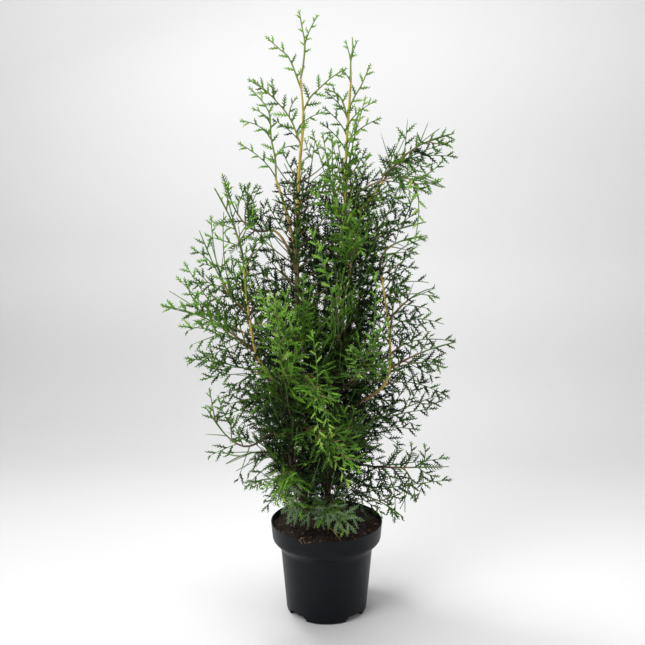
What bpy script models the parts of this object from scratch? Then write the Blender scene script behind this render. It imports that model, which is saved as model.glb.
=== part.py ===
"""A potted brabant arborvitae: a young plant with two leaders in a round nursery pot.

Sizes are in metres, with +Z up. The origin is the centre of the pot's underside, +X is
to the right and +Y is away from someone who stands before the plant.

The plant is grown by one rule. Stems rise from the soil, boughs leave the stems, and each
mass of foliage is a twig with toothed sprays on both sides, set alternately in one plane.
The open tops of the leaders follow courses of their own.
"""

import math
import random
from typing import NamedTuple

import bmesh
import bpy
from mathutils import Matrix, Vector
from mathutils.bvhtree import BVHTree

# Clearance between neighbouring solids
SEAT_GAP = 0.0003
SEAT_STEPS = (0.0005, 0.00004)
SPRAY_GAP = 0.0006

# Pot
POT_SEGMENTS = 36
POT_HEIGHT = 0.155
RIM_RADIUS = 0.095
COLLAR_HEIGHT = 0.029
COLLAR_FOOT_RADIUS = 0.0925
SHOULDER_DROP = 0.015
BODY_TOP_RADIUS = 0.0785
BODY_FOOT_RADIUS = 0.0697
SHOULDER_TOP = POT_HEIGHT - COLLAR_HEIGHT
SHOULDER_FOOT = SHOULDER_TOP - SHOULDER_DROP
POT_WALL = 0.0014
FLOOR_UNDERSIDE = 0.010
FLOOR_TOP = FLOOR_UNDERSIDE + POT_WALL
FOOT_RING_WIDTH = 0.009
FOOT_NOTCHES = 4
FOOT_NOTCH_WIDTH = 0.038
FOOT_NOTCH_DEPTH = 0.027
FIRST_NOTCH_TURN = math.radians(-46)
BOSS_RADIUS = 0.014
TURNED_SHARP_ANGLE = math.radians(35)

# Soil
SOIL_EDGE_HEIGHT = 0.1455
SOIL_CROWN_HEIGHT = 0.149
SOIL_CROWN_RADIUS = 0.040
SOIL_SIDE_GAP = 1.5 * SEAT_GAP / math.cos(math.pi / POT_SEGMENTS)

# Limbs
STEM_SIDES = 8
SIDE_STEM_SIDES = 6
BOUGH_SIDES = 5
BOUGH_RINGS = 5
BOUGH_END_RADIUS = 0.0018
TWIG_SIDES = 3
FLARE = 0.45
FLARE_HEIGHT = 0.016
FLARE_LEFT = 0.15
LIMB_SHARP_ANGLE = math.radians(60)
RUN_STEPS = 6
ARCH_STEPS = 24
ARCH_LEAD = 0.42
TWIG_END_RADIUS = 0.0009
TWIG_ROOT_RADIUS = 0.0021
TWIG_RINGS = 4
TWIG_OVERLAP = 0.75

# Sprays
SPRAY_SEED = 4954
SPRAY_THICKNESS = 0.0011
SPRAY_ROOT_WIDTH = 0.0022
SPRAY_SUNK = 0.0009
FIRST_SPRAY_AT = 0.10
LAST_SPRAY_AT = 0.86
END_SPRAY_SHARE = 0.80
SHORT_SPRAY = 0.042
LONG_SPRAY = 0.079
SPRAY_LEAST = 0.62
SPRAY_SWELL = 0.38
SPRAY_SWELL_SHIFT = 0.18
SPRAY_SPREAD = (0.88, 1.08)
TEETH_SHARE = 0.82
TOOTH_REACH = 1.12
TOOTH_LEAST = 0.62
TOOTH_SWELL = 0.38
TOOTH_SWELL_SHIFT = 0.8
WAIST_SHARE = 0.16
LEAN_AT_ROOT = math.radians(62)
LEAN_AT_TIP = math.radians(38)
SPRAY_TWIST = math.radians(16)
SPRAY_TILT = math.radians(20)
SPRAY_DROOP = 0.10
LEVEL_ANGLE = math.radians(0.3)


class Stem(NamedTuple):
    """An upright limb. One with a carrier leaves that stem, others rise from the soil."""

    name: str
    carrier: str
    run: tuple
    foot_radius: float
    end_radius: float
    sides: int


class Bough(NamedTuple):
    """A bare limb from a stem to where its foliage begins. Lift arches its middle up."""

    name: str
    stem: str
    foot_height: float
    end: tuple
    lift: float
    foot_radius: float


class Mass(NamedTuple):
    """A mass of foliage, from its carrier out to its furthest tip.

    A foot_height of None starts it at the carrier's end. Facing is the azimuth that its
    plane looks to, in degrees from the front towards +X, and pitch tips that up.
    """

    name: str
    carrier: str
    foot_height: float
    tip: tuple
    lift: float
    facing: float
    pitch: float
    sprays: int
    reach: float
    slim: float


STEMS = (
    Stem(
        "left_stem",
        "",
        (
            (-0.024, -0.006, 0.149),
            (-0.052, -0.008, 0.233),
            (-0.060, -0.008, 0.300),
            (-0.050, -0.006, 0.406),
            (-0.049, -0.004, 0.565),
            (-0.046, 0.000, 0.720),
            (-0.038, 0.000, 0.820),
            (-0.042, 0.000, 0.885),
        ),
        0.0062,
        0.0016,
        STEM_SIDES,
    ),
    Stem(
        "right_stem",
        "",
        (
            (0.000, 0.012, 0.149),
            (0.004, 0.012, 0.240),
            (0.014, 0.010, 0.340),
            (0.025, 0.010, 0.480),
            (0.029, 0.010, 0.620),
            (0.031, 0.010, 0.760),
            (0.038, 0.010, 0.880),
        ),
        0.0058,
        0.0016,
        STEM_SIDES,
    ),
    Stem(
        "left_side_stem",
        "left_stem",
        (
            (-0.056, -0.007, 0.330),
            (-0.078, -0.018, 0.386),
            (-0.112, -0.032, 0.440),
            (-0.126, -0.038, 0.520),
            (-0.133, -0.040, 0.600),
        ),
        0.0034,
        0.0017,
        SIDE_STEM_SIDES,
    ),
    Stem(
        "right_side_stem",
        "right_stem",
        (
            (0.014, 0.010, 0.335),
            (0.058, -0.004, 0.362),
            (0.098, -0.014, 0.398),
            (0.103, -0.020, 0.470),
            (0.086, -0.022, 0.585),
        ),
        0.0034,
        0.0016,
        SIDE_STEM_SIDES,
    ),
)

BOUGHS = (
    Bough("upper_left_bough", "left_stem", 0.600, (-0.081, -0.020, 0.726), 0.010, 0.0024),
    Bough("left_arch_bough", "left_stem", 0.575, (-0.095, -0.008, 0.646), 0.022, 0.0026),
    Bough("upper_right_bough", "right_stem", 0.662, (0.092, 0.004, 0.726), -0.008, 0.0026),
    Bough("left_low_bough", "left_stem", 0.300, (-0.112, -0.024, 0.300), 0.010, 0.0026),
    Bough("right_low_bough", "right_stem", 0.215, (0.078, -0.006, 0.250), 0.014, 0.0028),
    Bough("back_left_bough", "left_stem", 0.400, (-0.066, 0.070, 0.470), 0.010, 0.0026),
    Bough("back_right_bough", "right_stem", 0.430, (0.046, 0.075, 0.500), 0.010, 0.0026),
)

MASSES = (
    # The two leaders' open tops
    Mass("left_leader_tip", "left_stem", None, (-0.044, 0.000, 0.989), 0.0, 5, 0, 3, 0.058, 0.22),
    Mass("left_leader_left", "left_stem", 0.868, (-0.098, 0.008, 0.952), 0.0, 0, 0, 3, 0.034, 0.36),
    Mass("left_leader_right", "left_stem", 0.834, (0.031, -0.028, 0.896), -0.010, 10, 0, 4, 0.038, 0.38),
    Mass("left_leader_low", "left_stem", 0.780, (-0.120, 0.000, 0.884), -0.006, 0, 0, 5, 0.052, 0.40),
    Mass("right_leader_tip", "right_stem", None, (0.040, 0.010, 0.952), 0.0, 0, 0, 3, 0.036, 0.28),
    Mass("right_leader_right", "right_stem", 0.840, (0.069, -0.004, 0.907), -0.014, 10, 0, 5, 0.052, 0.38),
    Mass("right_leader_left", "right_stem", 0.822, (-0.004, -0.008, 0.868), -0.014, -10, 0, 5, 0.050, 0.42),
    Mass("upper_left_tip", "upper_left_bough", None, (-0.122, -0.030, 0.868), 0.0, -8, 0, 6, 0.062, 0.36),
    # Upper crown
    Mass("left_arch_frond", "left_arch_bough", None, (-0.168, -0.010, 0.739), 0.0, -6, 0, 6, 0.060, 0.54),
    Mass("right_cluster_top", "upper_right_bough", None, (0.209, 0.020, 0.803), 0.010, 12, 10, 6, 0.066, 0.56),
    Mass("right_cluster_front", "right_stem", 0.690, (0.188, -0.036, 0.712), 0.030, -18, 16, 6, 0.070, 0.58),
    Mass("right_cluster_low", "right_stem", 0.600, (0.168, 0.030, 0.660), 0.010, 16, -10, 6, 0.068, 0.58),
    Mass("front_top", "right_stem", 0.655, (0.000, -0.092, 0.764), -0.030, 24, 0, 6, 0.066, 0.54),
    Mass("back_top", "left_stem", 0.680, (-0.020, 0.092, 0.800), -0.026, 160, 0, 5, 0.068, 0.56),
    Mass("back_upper_right", "right_stem", 0.590, (0.066, 0.126, 0.704), -0.018, 130, 0, 5, 0.072, 0.58),
    Mass("back_upper_left", "left_stem", 0.545, (-0.110, 0.124, 0.652), -0.014, 50, 0, 5, 0.072, 0.58),
    Mass("inner_front_upper", "right_stem", 0.545, (0.052, -0.076, 0.678), -0.014, 10, 0, 5, 0.070, 0.60),
    # Left side, top to bottom
    Mass("left_side_tip", "left_side_stem", None, (-0.176, -0.050, 0.713), -0.004, -12, 0, 5, 0.060, 0.40),
    Mass("left_outer_upper", "left_side_stem", 0.510, (-0.210, 0.010, 0.648), -0.020, -16, 0, 6, 0.068, 0.56),
    Mass("left_outer_mid", "left_side_stem", 0.450, (-0.269, -0.020, 0.524), 0.016, 0, 10, 7, 0.074, 0.56),
    Mass("left_outer_low", "left_stem", 0.385, (-0.231, 0.000, 0.434), 0.010, 8, -8, 6, 0.070, 0.56),
    Mass("left_low_frond", "left_low_bough", None, (-0.200, -0.030, 0.362), -0.006, -12, 12, 6, 0.066, 0.58),
    Mass("left_low_front", "left_stem", 0.262, (-0.166, -0.050, 0.268), 0.018, -30, 20, 6, 0.060, 0.58),
    Mass("left_foot_frond", "left_stem", 0.205, (-0.142, 0.012, 0.206), 0.020, 0, 0, 5, 0.052, 0.54),
    # Right side, top to bottom
    Mass("right_side_tip", "right_side_stem", None, (0.163, -0.012, 0.638), 0.006, 8, 0, 6, 0.060, 0.54),
    Mass("right_outer_upper", "right_side_stem", 0.500, (0.182, 0.020, 0.550), 0.012, 10, 0, 6, 0.066, 0.58),
    Mass("right_outer_mid", "right_side_stem", 0.420, (0.215, 0.000, 0.462), 0.006, -8, 0, 6, 0.068, 0.58),
    Mass("right_outer_low", "right_stem", 0.290, (0.203, 0.020, 0.372), 0.004, 8, 6, 6, 0.068, 0.58),
    Mass("right_low_frond", "right_low_bough", None, (0.207, -0.012, 0.252), 0.014, 0, 0, 6, 0.060, 0.52),
    Mass("right_foot_frond", "right_stem", 0.185, (0.128, -0.048, 0.176), 0.022, -20, 20, 5, 0.056, 0.56),
    # Front, top to bottom
    Mass("front_upright", "left_stem", 0.330, (-0.077, -0.120, 0.556), -0.040, -20, 0, 7, 0.072, 0.52),
    Mass("front_mid", "right_stem", 0.450, (0.012, -0.120, 0.568), -0.020, 40, 0, 6, 0.072, 0.58),
    Mass("front_right", "right_stem", 0.385, (0.078, -0.116, 0.500), -0.024, 20, 0, 6, 0.072, 0.58),
    Mass("inner_front_mid", "left_stem", 0.420, (-0.034, -0.070, 0.540), -0.014, 0, 0, 5, 0.068, 0.60),
    Mass("inner_front_low", "right_stem", 0.240, (0.044, -0.080, 0.372), -0.014, 10, 0, 5, 0.070, 0.60),
    Mass("front_droop_upper", "left_stem", 0.410, (0.000, -0.154, 0.368), 0.024, 28, 46, 6, 0.066, 0.50),
    Mass("front_droop_lower", "left_stem", 0.320, (0.046, -0.160, 0.290), 0.020, 30, 40, 6, 0.066, 0.50),
    Mass("front_low_left", "left_stem", 0.250, (-0.078, -0.116, 0.222), 0.020, -20, 44, 5, 0.062, 0.56),
    Mass("front_foot", "right_stem", 0.190, (0.026, -0.096, 0.166), 0.016, 10, 62, 5, 0.052, 0.56),
    # Back, top to bottom
    Mass("back_left_frond", "back_left_bough", None, (-0.130, 0.160, 0.540), 0.0, 130, 0, 5, 0.072, 0.58),
    Mass("back_right_frond", "back_right_bough", None, (0.110, 0.160, 0.570), 0.0, 60, 0, 5, 0.072, 0.58),
    Mass("back_mid", "left_stem", 0.470, (-0.010, 0.168, 0.560), -0.012, 100, 0, 6, 0.074, 0.58),
    Mass("back_low_left", "left_stem", 0.290, (-0.116, 0.130, 0.360), -0.004, 140, 0, 5, 0.072, 0.58),
    Mass("back_low_right", "right_stem", 0.330, (0.104, 0.140, 0.410), -0.006, 40, 0, 5, 0.072, 0.58),
    Mass("back_foot", "right_stem", 0.210, (0.020, 0.150, 0.270), 0.010, 100, 10, 5, 0.066, 0.56),
    Mass("inner_back_mid", "right_stem", 0.350, (0.006, 0.086, 0.470), -0.014, 178, 0, 5, 0.070, 0.60),
)

# The open masses go through these points on the way from their feet to their tips
COURSES = {
    "left_leader_tip": ((-0.038, 0.000, 0.904), (-0.035, 0.000, 0.938), (-0.039, 0.000, 0.962)),
    "left_leader_left": ((-0.059, 0.000, 0.915), (-0.074, 0.003, 0.930)),
    "left_leader_right": ((-0.027, -0.004, 0.855), (-0.011, -0.012, 0.869), (0.008, -0.020, 0.884)),
    "left_leader_low": ((-0.059, 0.000, 0.824), (-0.087, 0.000, 0.857), (-0.103, 0.000, 0.872)),
    "right_leader_tip": ((0.038, 0.010, 0.916), (0.041, 0.010, 0.934)),
    "right_leader_right": ((0.045, 0.008, 0.860), (0.054, 0.002, 0.874)),
    "right_leader_left": ((0.024, 0.006, 0.853), (0.013, -0.001, 0.863)),
    "upper_left_tip": ((-0.082, -0.021, 0.760), (-0.088, -0.023, 0.790), (-0.092, -0.026, 0.833)),
}


def clear_scene():
    for obj in list(bpy.data.objects):
        bpy.data.objects.remove(obj, do_unlink=True)


def material(name, colour, roughness):
    made = bpy.data.materials.new(name)
    made.use_nodes = True
    shader = made.node_tree.nodes["Principled BSDF"]
    shader.inputs["Base Color"].default_value = (*colour, 1.0)
    shader.inputs["Roughness"].default_value = roughness
    made.diffuse_color = (*colour, 1.0)
    return made


def object_from(name, bm, finish, smooth_angle=None):
    """Makes an object of a bmesh, with its faces turned outwards."""
    bmesh.ops.recalc_face_normals(bm, faces=bm.faces)
    mesh = bpy.data.meshes.new(name)
    bm.to_mesh(mesh)
    bm.free()
    if smooth_angle is not None:
        mesh.shade_smooth()
        mesh.set_sharp_from_angle(angle=smooth_angle)
    mesh.materials.append(finish)
    obj = bpy.data.objects.new(name, mesh)
    bpy.context.scene.collection.objects.link(obj)
    return obj


# Turned shapes: the pot and its soil


def turned(profile, segments):
    """A closed body from a profile of (radius, height) that begins and ends on the axis."""
    bm = bmesh.new()
    rings = []
    for radius, height in profile:
        if radius == 0:
            rings.append([bm.verts.new((0, 0, height))])
            continue
        turns = [2 * math.pi * k / segments for k in range(segments)]
        rings.append([bm.verts.new((radius * math.cos(t), radius * math.sin(t), height)) for t in turns])
    for low, high in zip(rings, rings[1:]):
        for k in range(segments):
            corners = [low[k % len(low)], low[(k + 1) % len(low)]]
            corners += [high[(k + 1) % len(high)], high[k % len(high)]]
            bm.faces.new(list(dict.fromkeys(corners)))
    return bm


def wall_inside(height):
    """The pot's inner radius at a height, for the soil that fills it."""
    if height >= SHOULDER_TOP:
        share = (height - SHOULDER_TOP) / COLLAR_HEIGHT
        return COLLAR_FOOT_RADIUS + share * (RIM_RADIUS - COLLAR_FOOT_RADIUS) - POT_WALL
    if height >= SHOULDER_FOOT:
        share = (height - SHOULDER_FOOT) / SHOULDER_DROP
        return BODY_TOP_RADIUS + share * (COLLAR_FOOT_RADIUS - BODY_TOP_RADIUS) - POT_WALL
    share = height / SHOULDER_FOOT
    return BODY_FOOT_RADIUS + share * (BODY_TOP_RADIUS - BODY_FOOT_RADIUS) - POT_WALL


def cut_away(obj, cutter):
    """Cuts the cutter's shape out of the object."""
    cutter.hide_render = True
    cutter.display_type = "WIRE"
    cut = obj.modifiers.new("notch", "BOOLEAN")
    cut.operation = "DIFFERENCE"
    cut.object = cutter


def make_pot():
    """A thin round pot with a collar, a raised floor, and a foot ring cut into four feet."""
    profile = [
        (0, 0),
        (BOSS_RADIUS, 0),
        (BOSS_RADIUS, FLOOR_UNDERSIDE),
        (BODY_FOOT_RADIUS - FOOT_RING_WIDTH, FLOOR_UNDERSIDE),
        (BODY_FOOT_RADIUS - FOOT_RING_WIDTH, 0),
        (BODY_FOOT_RADIUS, 0),
        (BODY_TOP_RADIUS, SHOULDER_FOOT),
        (COLLAR_FOOT_RADIUS, SHOULDER_TOP),
        (RIM_RADIUS, POT_HEIGHT),
        (RIM_RADIUS - POT_WALL, POT_HEIGHT),
        (wall_inside(SHOULDER_TOP), SHOULDER_TOP),
        (wall_inside(SHOULDER_FOOT), SHOULDER_FOOT),
        (wall_inside(FLOOR_TOP), FLOOR_TOP),
        (0, FLOOR_TOP),
    ]
    finish = material("black_plastic", (0.022, 0.024, 0.028), 0.42)
    pot = object_from("pot", turned(profile, POT_SEGMENTS), finish, TURNED_SHARP_ANGLE)
    notch_height = 2 * FLOOR_UNDERSIDE + POT_WALL / 2
    for number in range(FOOT_NOTCHES):
        bm = bmesh.new()
        bmesh.ops.create_cube(bm, size=1.0)
        bmesh.ops.scale(bm, vec=(FOOT_NOTCH_DEPTH, FOOT_NOTCH_WIDTH, notch_height), verts=bm.verts)
        bmesh.ops.translate(bm, vec=(BODY_FOOT_RADIUS - FOOT_RING_WIDTH / 2, 0, 0), verts=bm.verts)
        cutter = object_from(f"notch_cutter_{number}", bm, finish)
        cutter.rotation_euler.z = FIRST_NOTCH_TURN + number * 2 * math.pi / FOOT_NOTCHES
        cut_away(pot, cutter)
    return pot


def make_soil():
    """Potting soil up to the collar, a little higher round the stems, and level there."""
    floor = FLOOR_TOP + SEAT_GAP
    profile = [(0, floor)]
    for height in (floor, SHOULDER_FOOT + SEAT_GAP, SHOULDER_TOP + SEAT_GAP, SOIL_EDGE_HEIGHT):
        profile.append((wall_inside(height) - SOIL_SIDE_GAP, height))
    profile += [(SOIL_CROWN_RADIUS, SOIL_CROWN_HEIGHT), (0, SOIL_CROWN_HEIGHT)]
    finish = material("potting_soil", (0.045, 0.026, 0.016), 0.95)
    return object_from("soil", turned(profile, POT_SEGMENTS), finish, TURNED_SHARP_ANGLE)


# Routes and the tapering limbs along them


def smooth_run(points):
    """A smooth curve through a few points, with RUN_STEPS steps between each two."""
    knots = [Vector(p) for p in points]
    knots = [2 * knots[0] - knots[1]] + knots + [2 * knots[-1] - knots[-2]]
    run = []
    for before, start, end, after in zip(knots, knots[1:], knots[2:], knots[3:]):
        for k in range(RUN_STEPS):
            t = k / RUN_STEPS
            run.append(
                start
                + 0.5 * t * (end - before)
                + t * t * (before - 2.5 * start + 2 * end - 0.5 * after)
                + 0.5 * t**3 * (3 * start - before - 3 * end + after)
            )
    return run + [knots[-2]]


def arch(foot, end, lift, heading=None):
    """A curve from foot to end that leaves along heading, or bows up by lift."""
    foot = Vector(foot)
    end = Vector(end)
    middle = (foot + end) / 2 + Vector((0, 0, 2 * lift))
    if heading is not None:
        middle = foot + heading * (ARCH_LEAD * (end - foot).length) + Vector((0, 0, lift))
    run = []
    for k in range(ARCH_STEPS + 1):
        t = k / ARCH_STEPS
        run.append((1 - t) ** 2 * foot + 2 * t * (1 - t) * middle + t * t * end)
    return run


def lengths(run):
    """The distance along a run at each of its points."""
    total = 0.0
    found = [0.0]
    for here, there in zip(run, run[1:]):
        total += (there - here).length
        found.append(total)
    return found


def place_on(run, distance):
    """The point and heading at a distance along a run."""
    left = distance
    for here, there in zip(run, run[1:]):
        step = (there - here).length
        if left <= step:
            return here.lerp(there, left / step), (there - here).normalized()
        left -= step
    return run[-1].copy(), (run[-1] - run[-2]).normalized()


def point_at_height(run, height):
    """The point of a rising run at a height."""
    for here, there in zip(run, run[1:]):
        if here.z <= height <= there.z:
            return here.lerp(there, (height - here.z) / (there.z - here.z))
    return run[-1].copy()


def part_of(run, start, end, count):
    """Evenly spaced points of a run between two distances along it."""
    return [place_on(run, start + (end - start) * k / (count - 1))[0] for k in range(count)]


def ring_of(centre, heading, side, radius, sides):
    """The corners of a ring round a centre, square to its heading."""
    across = heading.cross(side).normalized()
    up = across.cross(heading)
    turns = [2 * math.pi * (k + 0.5) / sides for k in range(sides)]
    return [centre + radius * (math.cos(t) * up + math.sin(t) * across) for t in turns]


def end_ring(points, radius, sides, level=False):
    """The corners of a limb's foot, and the direction that its later rings start from."""
    along = (points[-1] - points[0]).normalized()
    side = Vector((1, 0, 0)) if abs(along.x) < 0.8 else Vector((0, 0, 1))
    heading = Vector((0, 0, 1)) if level else (points[1] - points[0]).normalized()
    side = (side - side.dot(heading) * heading).normalized()
    return ring_of(points[0], heading, side, radius, sides), side


def limb_mesh(points, radii, sides, level_foot=False):
    """A tapering closed tube through the points, with flat ends."""
    foot, side = end_ring(points, radii[0], sides, level_foot)
    rings = [foot]
    for k in range(1, len(points)):
        heading = (points[min(k + 1, len(points) - 1)] - points[k - 1]).normalized()
        side = (side - side.dot(heading) * heading).normalized()
        rings.append(ring_of(points[k], heading, side, radii[k], sides))
    bm = bmesh.new()
    rings = [[bm.verts.new(corner) for corner in ring] for ring in rings]
    for low, high in zip(rings, rings[1:]):
        for k in range(sides):
            bm.faces.new((low[k], low[(k + 1) % sides], high[(k + 1) % sides], high[k]))
    bm.faces.new(rings[0])
    bm.faces.new(rings[-1])
    return bm


def tree_of(bm):
    """A search tree of a shape's surface, with its faces turned outwards."""
    bmesh.ops.recalc_face_normals(bm, faces=bm.faces)
    return BVHTree.FromBMesh(bm)


def clear_start(points_from, radius, sides, carrier):
    """The least start at which a limb's flat foot is clear of its carrier's surface."""
    start = 0.0
    for step in SEAT_STEPS:
        start = max(0.0, start - SEAT_STEPS[0])
        while not foot_is_clear(points_from(start), radius, sides, carrier):
            start += step
    return start


def foot_is_clear(points, radius, sides, carrier):
    """Whether the corners, middle and edges of a limb's foot are clear of its carrier."""
    corners, _ = end_ring(points, radius, sides)
    middles = [(a + b) / 2 for a, b in zip(corners, corners[1:] + corners[:1])]
    return all(clear_of(carrier, point) for point in [points[0]] + corners + middles)


def clear_of(tree, point):
    """Whether a point is outside a surface, and away from it by the clearance."""
    nearest, normal, _, away = tree.find_nearest(point)
    return away >= SEAT_GAP and (point - nearest).dot(normal) > 0


# Growing the limbs


class Limb(NamedTuple):
    """A limb as grown: its run from foot to end and its surface."""

    run: list
    tree: BVHTree


def taper(count, foot_radius, end_radius):
    """Evenly falling radii from a limb's foot to its end."""
    return [foot_radius + (end_radius - foot_radius) * k / (count - 1) for k in range(count)]


def grow_stem(stem, limbs, finish):
    """A stem. One that rises from the soil has a root flare and a level foot."""
    run = smooth_run(stem.run)
    count = 2 * len(stem.run)
    full = lengths(run)[-1]
    start = 0.0
    if stem.carrier:
        carrier = limbs[stem.carrier].tree
        start = clear_start(lambda at: part_of(run, at, full, count), stem.foot_radius, stem.sides, carrier)
    points = part_of(run, start, full, count)
    radii = taper(count, stem.foot_radius, stem.end_radius)
    if not stem.carrier:
        points[0].z = SOIL_CROWN_HEIGHT + SEAT_GAP
        points.insert(1, place_on(run, FLARE_HEIGHT)[0])
        radii.insert(1, stem.foot_radius * (1 + FLARE_LEFT))
        radii[0] = stem.foot_radius * (1 + FLARE)
    bm = limb_mesh(points, radii, stem.sides, level_foot=not stem.carrier)
    limbs[stem.name] = Limb(points, tree_of(bm))
    object_from(stem.name, bm, finish, LIMB_SHARP_ANGLE)


def grow_bough(bough, limbs, finish):
    """A bare limb that starts just clear of its stem."""
    carrier = limbs[bough.stem]
    run = arch(point_at_height(carrier.run, bough.foot_height), bough.end, bough.lift)
    full = lengths(run)[-1]

    def points_from(start):
        return part_of(run, start, full, BOUGH_RINGS)

    points = points_from(clear_start(points_from, bough.foot_radius, BOUGH_SIDES, carrier.tree))
    bm = limb_mesh(points, taper(BOUGH_RINGS, bough.foot_radius, BOUGH_END_RADIUS), BOUGH_SIDES)
    limbs[bough.name] = Limb(points, tree_of(bm))
    object_from(bough.name, bm, finish, LIMB_SHARP_ANGLE)


# Growing the masses


def course_of(mass, carrier):
    """The curve of a mass's stem from the middle line of its carrier to its tip."""
    if mass.foot_height is None:
        foot = carrier.run[-1]
        heading = (carrier.run[-1] - carrier.run[-2]).normalized()
    else:
        foot = point_at_height(carrier.run, mass.foot_height)
        heading = None
    if mass.name in COURSES:
        return smooth_run([foot, *COURSES[mass.name], mass.tip])
    return arch(foot, mass.tip, mass.lift, heading)


def axis_of(mass, limbs):
    """The curve of a mass's stem, from where it is clear of its carrier to its tip."""
    carrier = limbs[mass.carrier]
    run = course_of(mass, carrier)
    full = lengths(run)[-1]

    def points_from(start):
        return twig_points(mass, part_of(run, start, full, len(run)))

    start = clear_start(points_from, TWIG_ROOT_RADIUS, TWIG_SIDES, carrier.tree)
    return part_of(run, start, full, len(run))


def twig_points(mass, axis):
    """The ring centres of a mass's own stem, which ends inside its end spray."""
    end = lengths(axis)[-1] - TWIG_OVERLAP * END_SPRAY_SHARE * mass.reach
    return part_of(axis, 0.0, end, TWIG_RINGS)


def plane_of(mass, heading):
    """The way that a mass's plane faces, square to its heading."""
    facing = math.radians(mass.facing)
    pitch = math.radians(mass.pitch)
    flat = math.cos(pitch)
    normal = Vector((math.sin(facing) * flat, -math.cos(facing) * flat, math.sin(pitch)))
    return (normal - normal.dot(heading) * heading).normalized()


def spray_length(mass, share):
    """A spray's length by its place along the stem: full in the lower middle, less at the tip."""
    swell = math.sin(math.pi * min(1.0, share + SPRAY_SWELL_SHIFT))
    return mass.reach * (SPRAY_LEAST + SPRAY_SWELL * swell)


class Spray(NamedTuple):
    """A flat spray of scale leaves. Droop is how far its tip hangs, as a share of its length."""

    root: Vector
    heading: Vector
    normal: Vector
    length: float
    half_width: float
    droop: float


def end_spray(mass, axis):
    """The spray that carries on from the end of the mass's stem to its tip."""
    full = lengths(axis)[-1]
    root, _ = place_on(axis, full - END_SPRAY_SHARE * mass.reach)
    heading = axis[-1] - root
    length = heading.length
    heading.normalize()
    return Spray(root, heading, plane_of(mass, heading), length, length * mass.slim / 2, 0.0)


def side_spray(mass, axis, number, draw):
    """One of the sprays that leave the mass's stem alternately on its two sides."""
    share = FIRST_SPRAY_AT + (LAST_SPRAY_AT - FIRST_SPRAY_AT) * number / (mass.sprays - 1)
    twist = draw.uniform(-1, 1) * SPRAY_TWIST
    tilt = draw.uniform(-1, 1) * SPRAY_TILT
    length = spray_length(mass, share) * draw.uniform(*SPRAY_SPREAD)
    root, heading = place_on(axis, share * (lengths(axis)[-1] - END_SPRAY_SHARE * mass.reach))
    normal = plane_of(mass, heading)
    side = normal.cross(heading) * (1 if number % 2 else -1)
    lean = LEAN_AT_ROOT + (LEAN_AT_TIP - LEAN_AT_ROOT) * share
    out = math.cos(lean) * heading + math.sin(lean) * side
    out = (math.cos(tilt) * out + math.sin(tilt) * normal).normalized()
    normal = (normal - normal.dot(out) * out).normalized()
    normal.rotate(Matrix.Rotation(twist, 3, out))
    droop = SPRAY_DROOP * (1 - abs(out.z))
    return Spray(root - SPRAY_SUNK * out, out, normal, length, length * mass.slim / 2, droop)


def sprays_of(mass, axis):
    """All the sprays of a mass by its rule, the end one first."""
    draw = random.Random(f"{SPRAY_SEED} {mass.name}")
    return [end_spray(mass, axis)] + [side_spray(mass, axis, k, draw) for k in range(mass.sprays)]


def teeth_of(length):
    """How many teeth a spray has on each side."""
    return 1 if length < SHORT_SPRAY else 2 if length < LONG_SPRAY else 3


def spray_mesh(spray, spare=0.0):
    """A flat blade with forward-pointing teeth. Spare makes it fatter all round."""
    teeth = teeth_of(spray.length)
    side = spray.normal.cross(spray.heading)
    thickness = SPRAY_THICKNESS + 2 * spare
    pitch = TEETH_SHARE * spray.length / teeth
    bm = bmesh.new()

    def pair(along, across):
        """A corner of the outline, as its points on the blade's two faces."""
        sag = spray.droop * along * along / spray.length
        middle = spray.root + along * spray.heading + across * side - Vector((0, 0, sag))
        return [bm.verts.new(middle + s * thickness / 2 * spray.normal) for s in (1, -1)]

    edges = {1: [], -1: []}
    for way in (1, -1):
        for k in range(teeth + 1):
            swell = math.sin(math.pi * k / (teeth + 1))
            waist = SPRAY_ROOT_WIDTH / 2 + WAIST_SHARE * spray.half_width * swell
            edges[way].append(pair(k * pitch, way * (waist + spare)))
            if k < teeth:
                swell = TOOTH_LEAST + TOOTH_SWELL * math.sin(math.pi * (k + TOOTH_SWELL_SHIFT) / teeth)
                point = pair((k + TOOTH_REACH) * pitch, way * (swell * spray.half_width + spare))
                edges[way].append(point)
    tip = pair(spray.length + spare, 0.0)
    plates = [[edges[1][-1], tip, edges[-1][-1]]]
    for k in range(0, 2 * teeth, 2):
        plates.append([edges[1][k], edges[1][k + 2], edges[-1][k + 2], edges[-1][k]])
        plates += [edges[way][k : k + 3] for way in (1, -1)]
    for plate in plates:
        for face in (0, 1):
            bm.faces.new([corner[face] for corner in plate])
    outline = edges[1] + [tip] + edges[-1][::-1]
    for here, there in zip(outline, outline[1:] + outline[:1]):
        bm.faces.new((here[0], here[1], there[1], there[0]))
    return bm


def fuse(stem, blades):
    """Joins the blades to their stem in one union, and keeps the one whole body."""
    gathered = bpy.data.collections.new("sprays")
    bpy.context.scene.collection.children.link(gathered)
    for blade in blades:
        bpy.context.scene.collection.objects.unlink(blade)
        gathered.objects.link(blade)
    union = stem.modifiers.new("sprays", "BOOLEAN")
    union.operation = "UNION"
    union.operand_type = "COLLECTION"
    union.collection = gathered
    graph = bpy.context.evaluated_depsgraph_get()
    joined = bpy.data.meshes.new_from_object(stem.evaluated_get(graph))
    stem.modifiers.clear()
    stem.data = joined
    for blade in blades:
        bpy.data.objects.remove(blade, do_unlink=True)
    bpy.data.collections.remove(gathered)
    keep_largest_body(joined)


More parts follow.
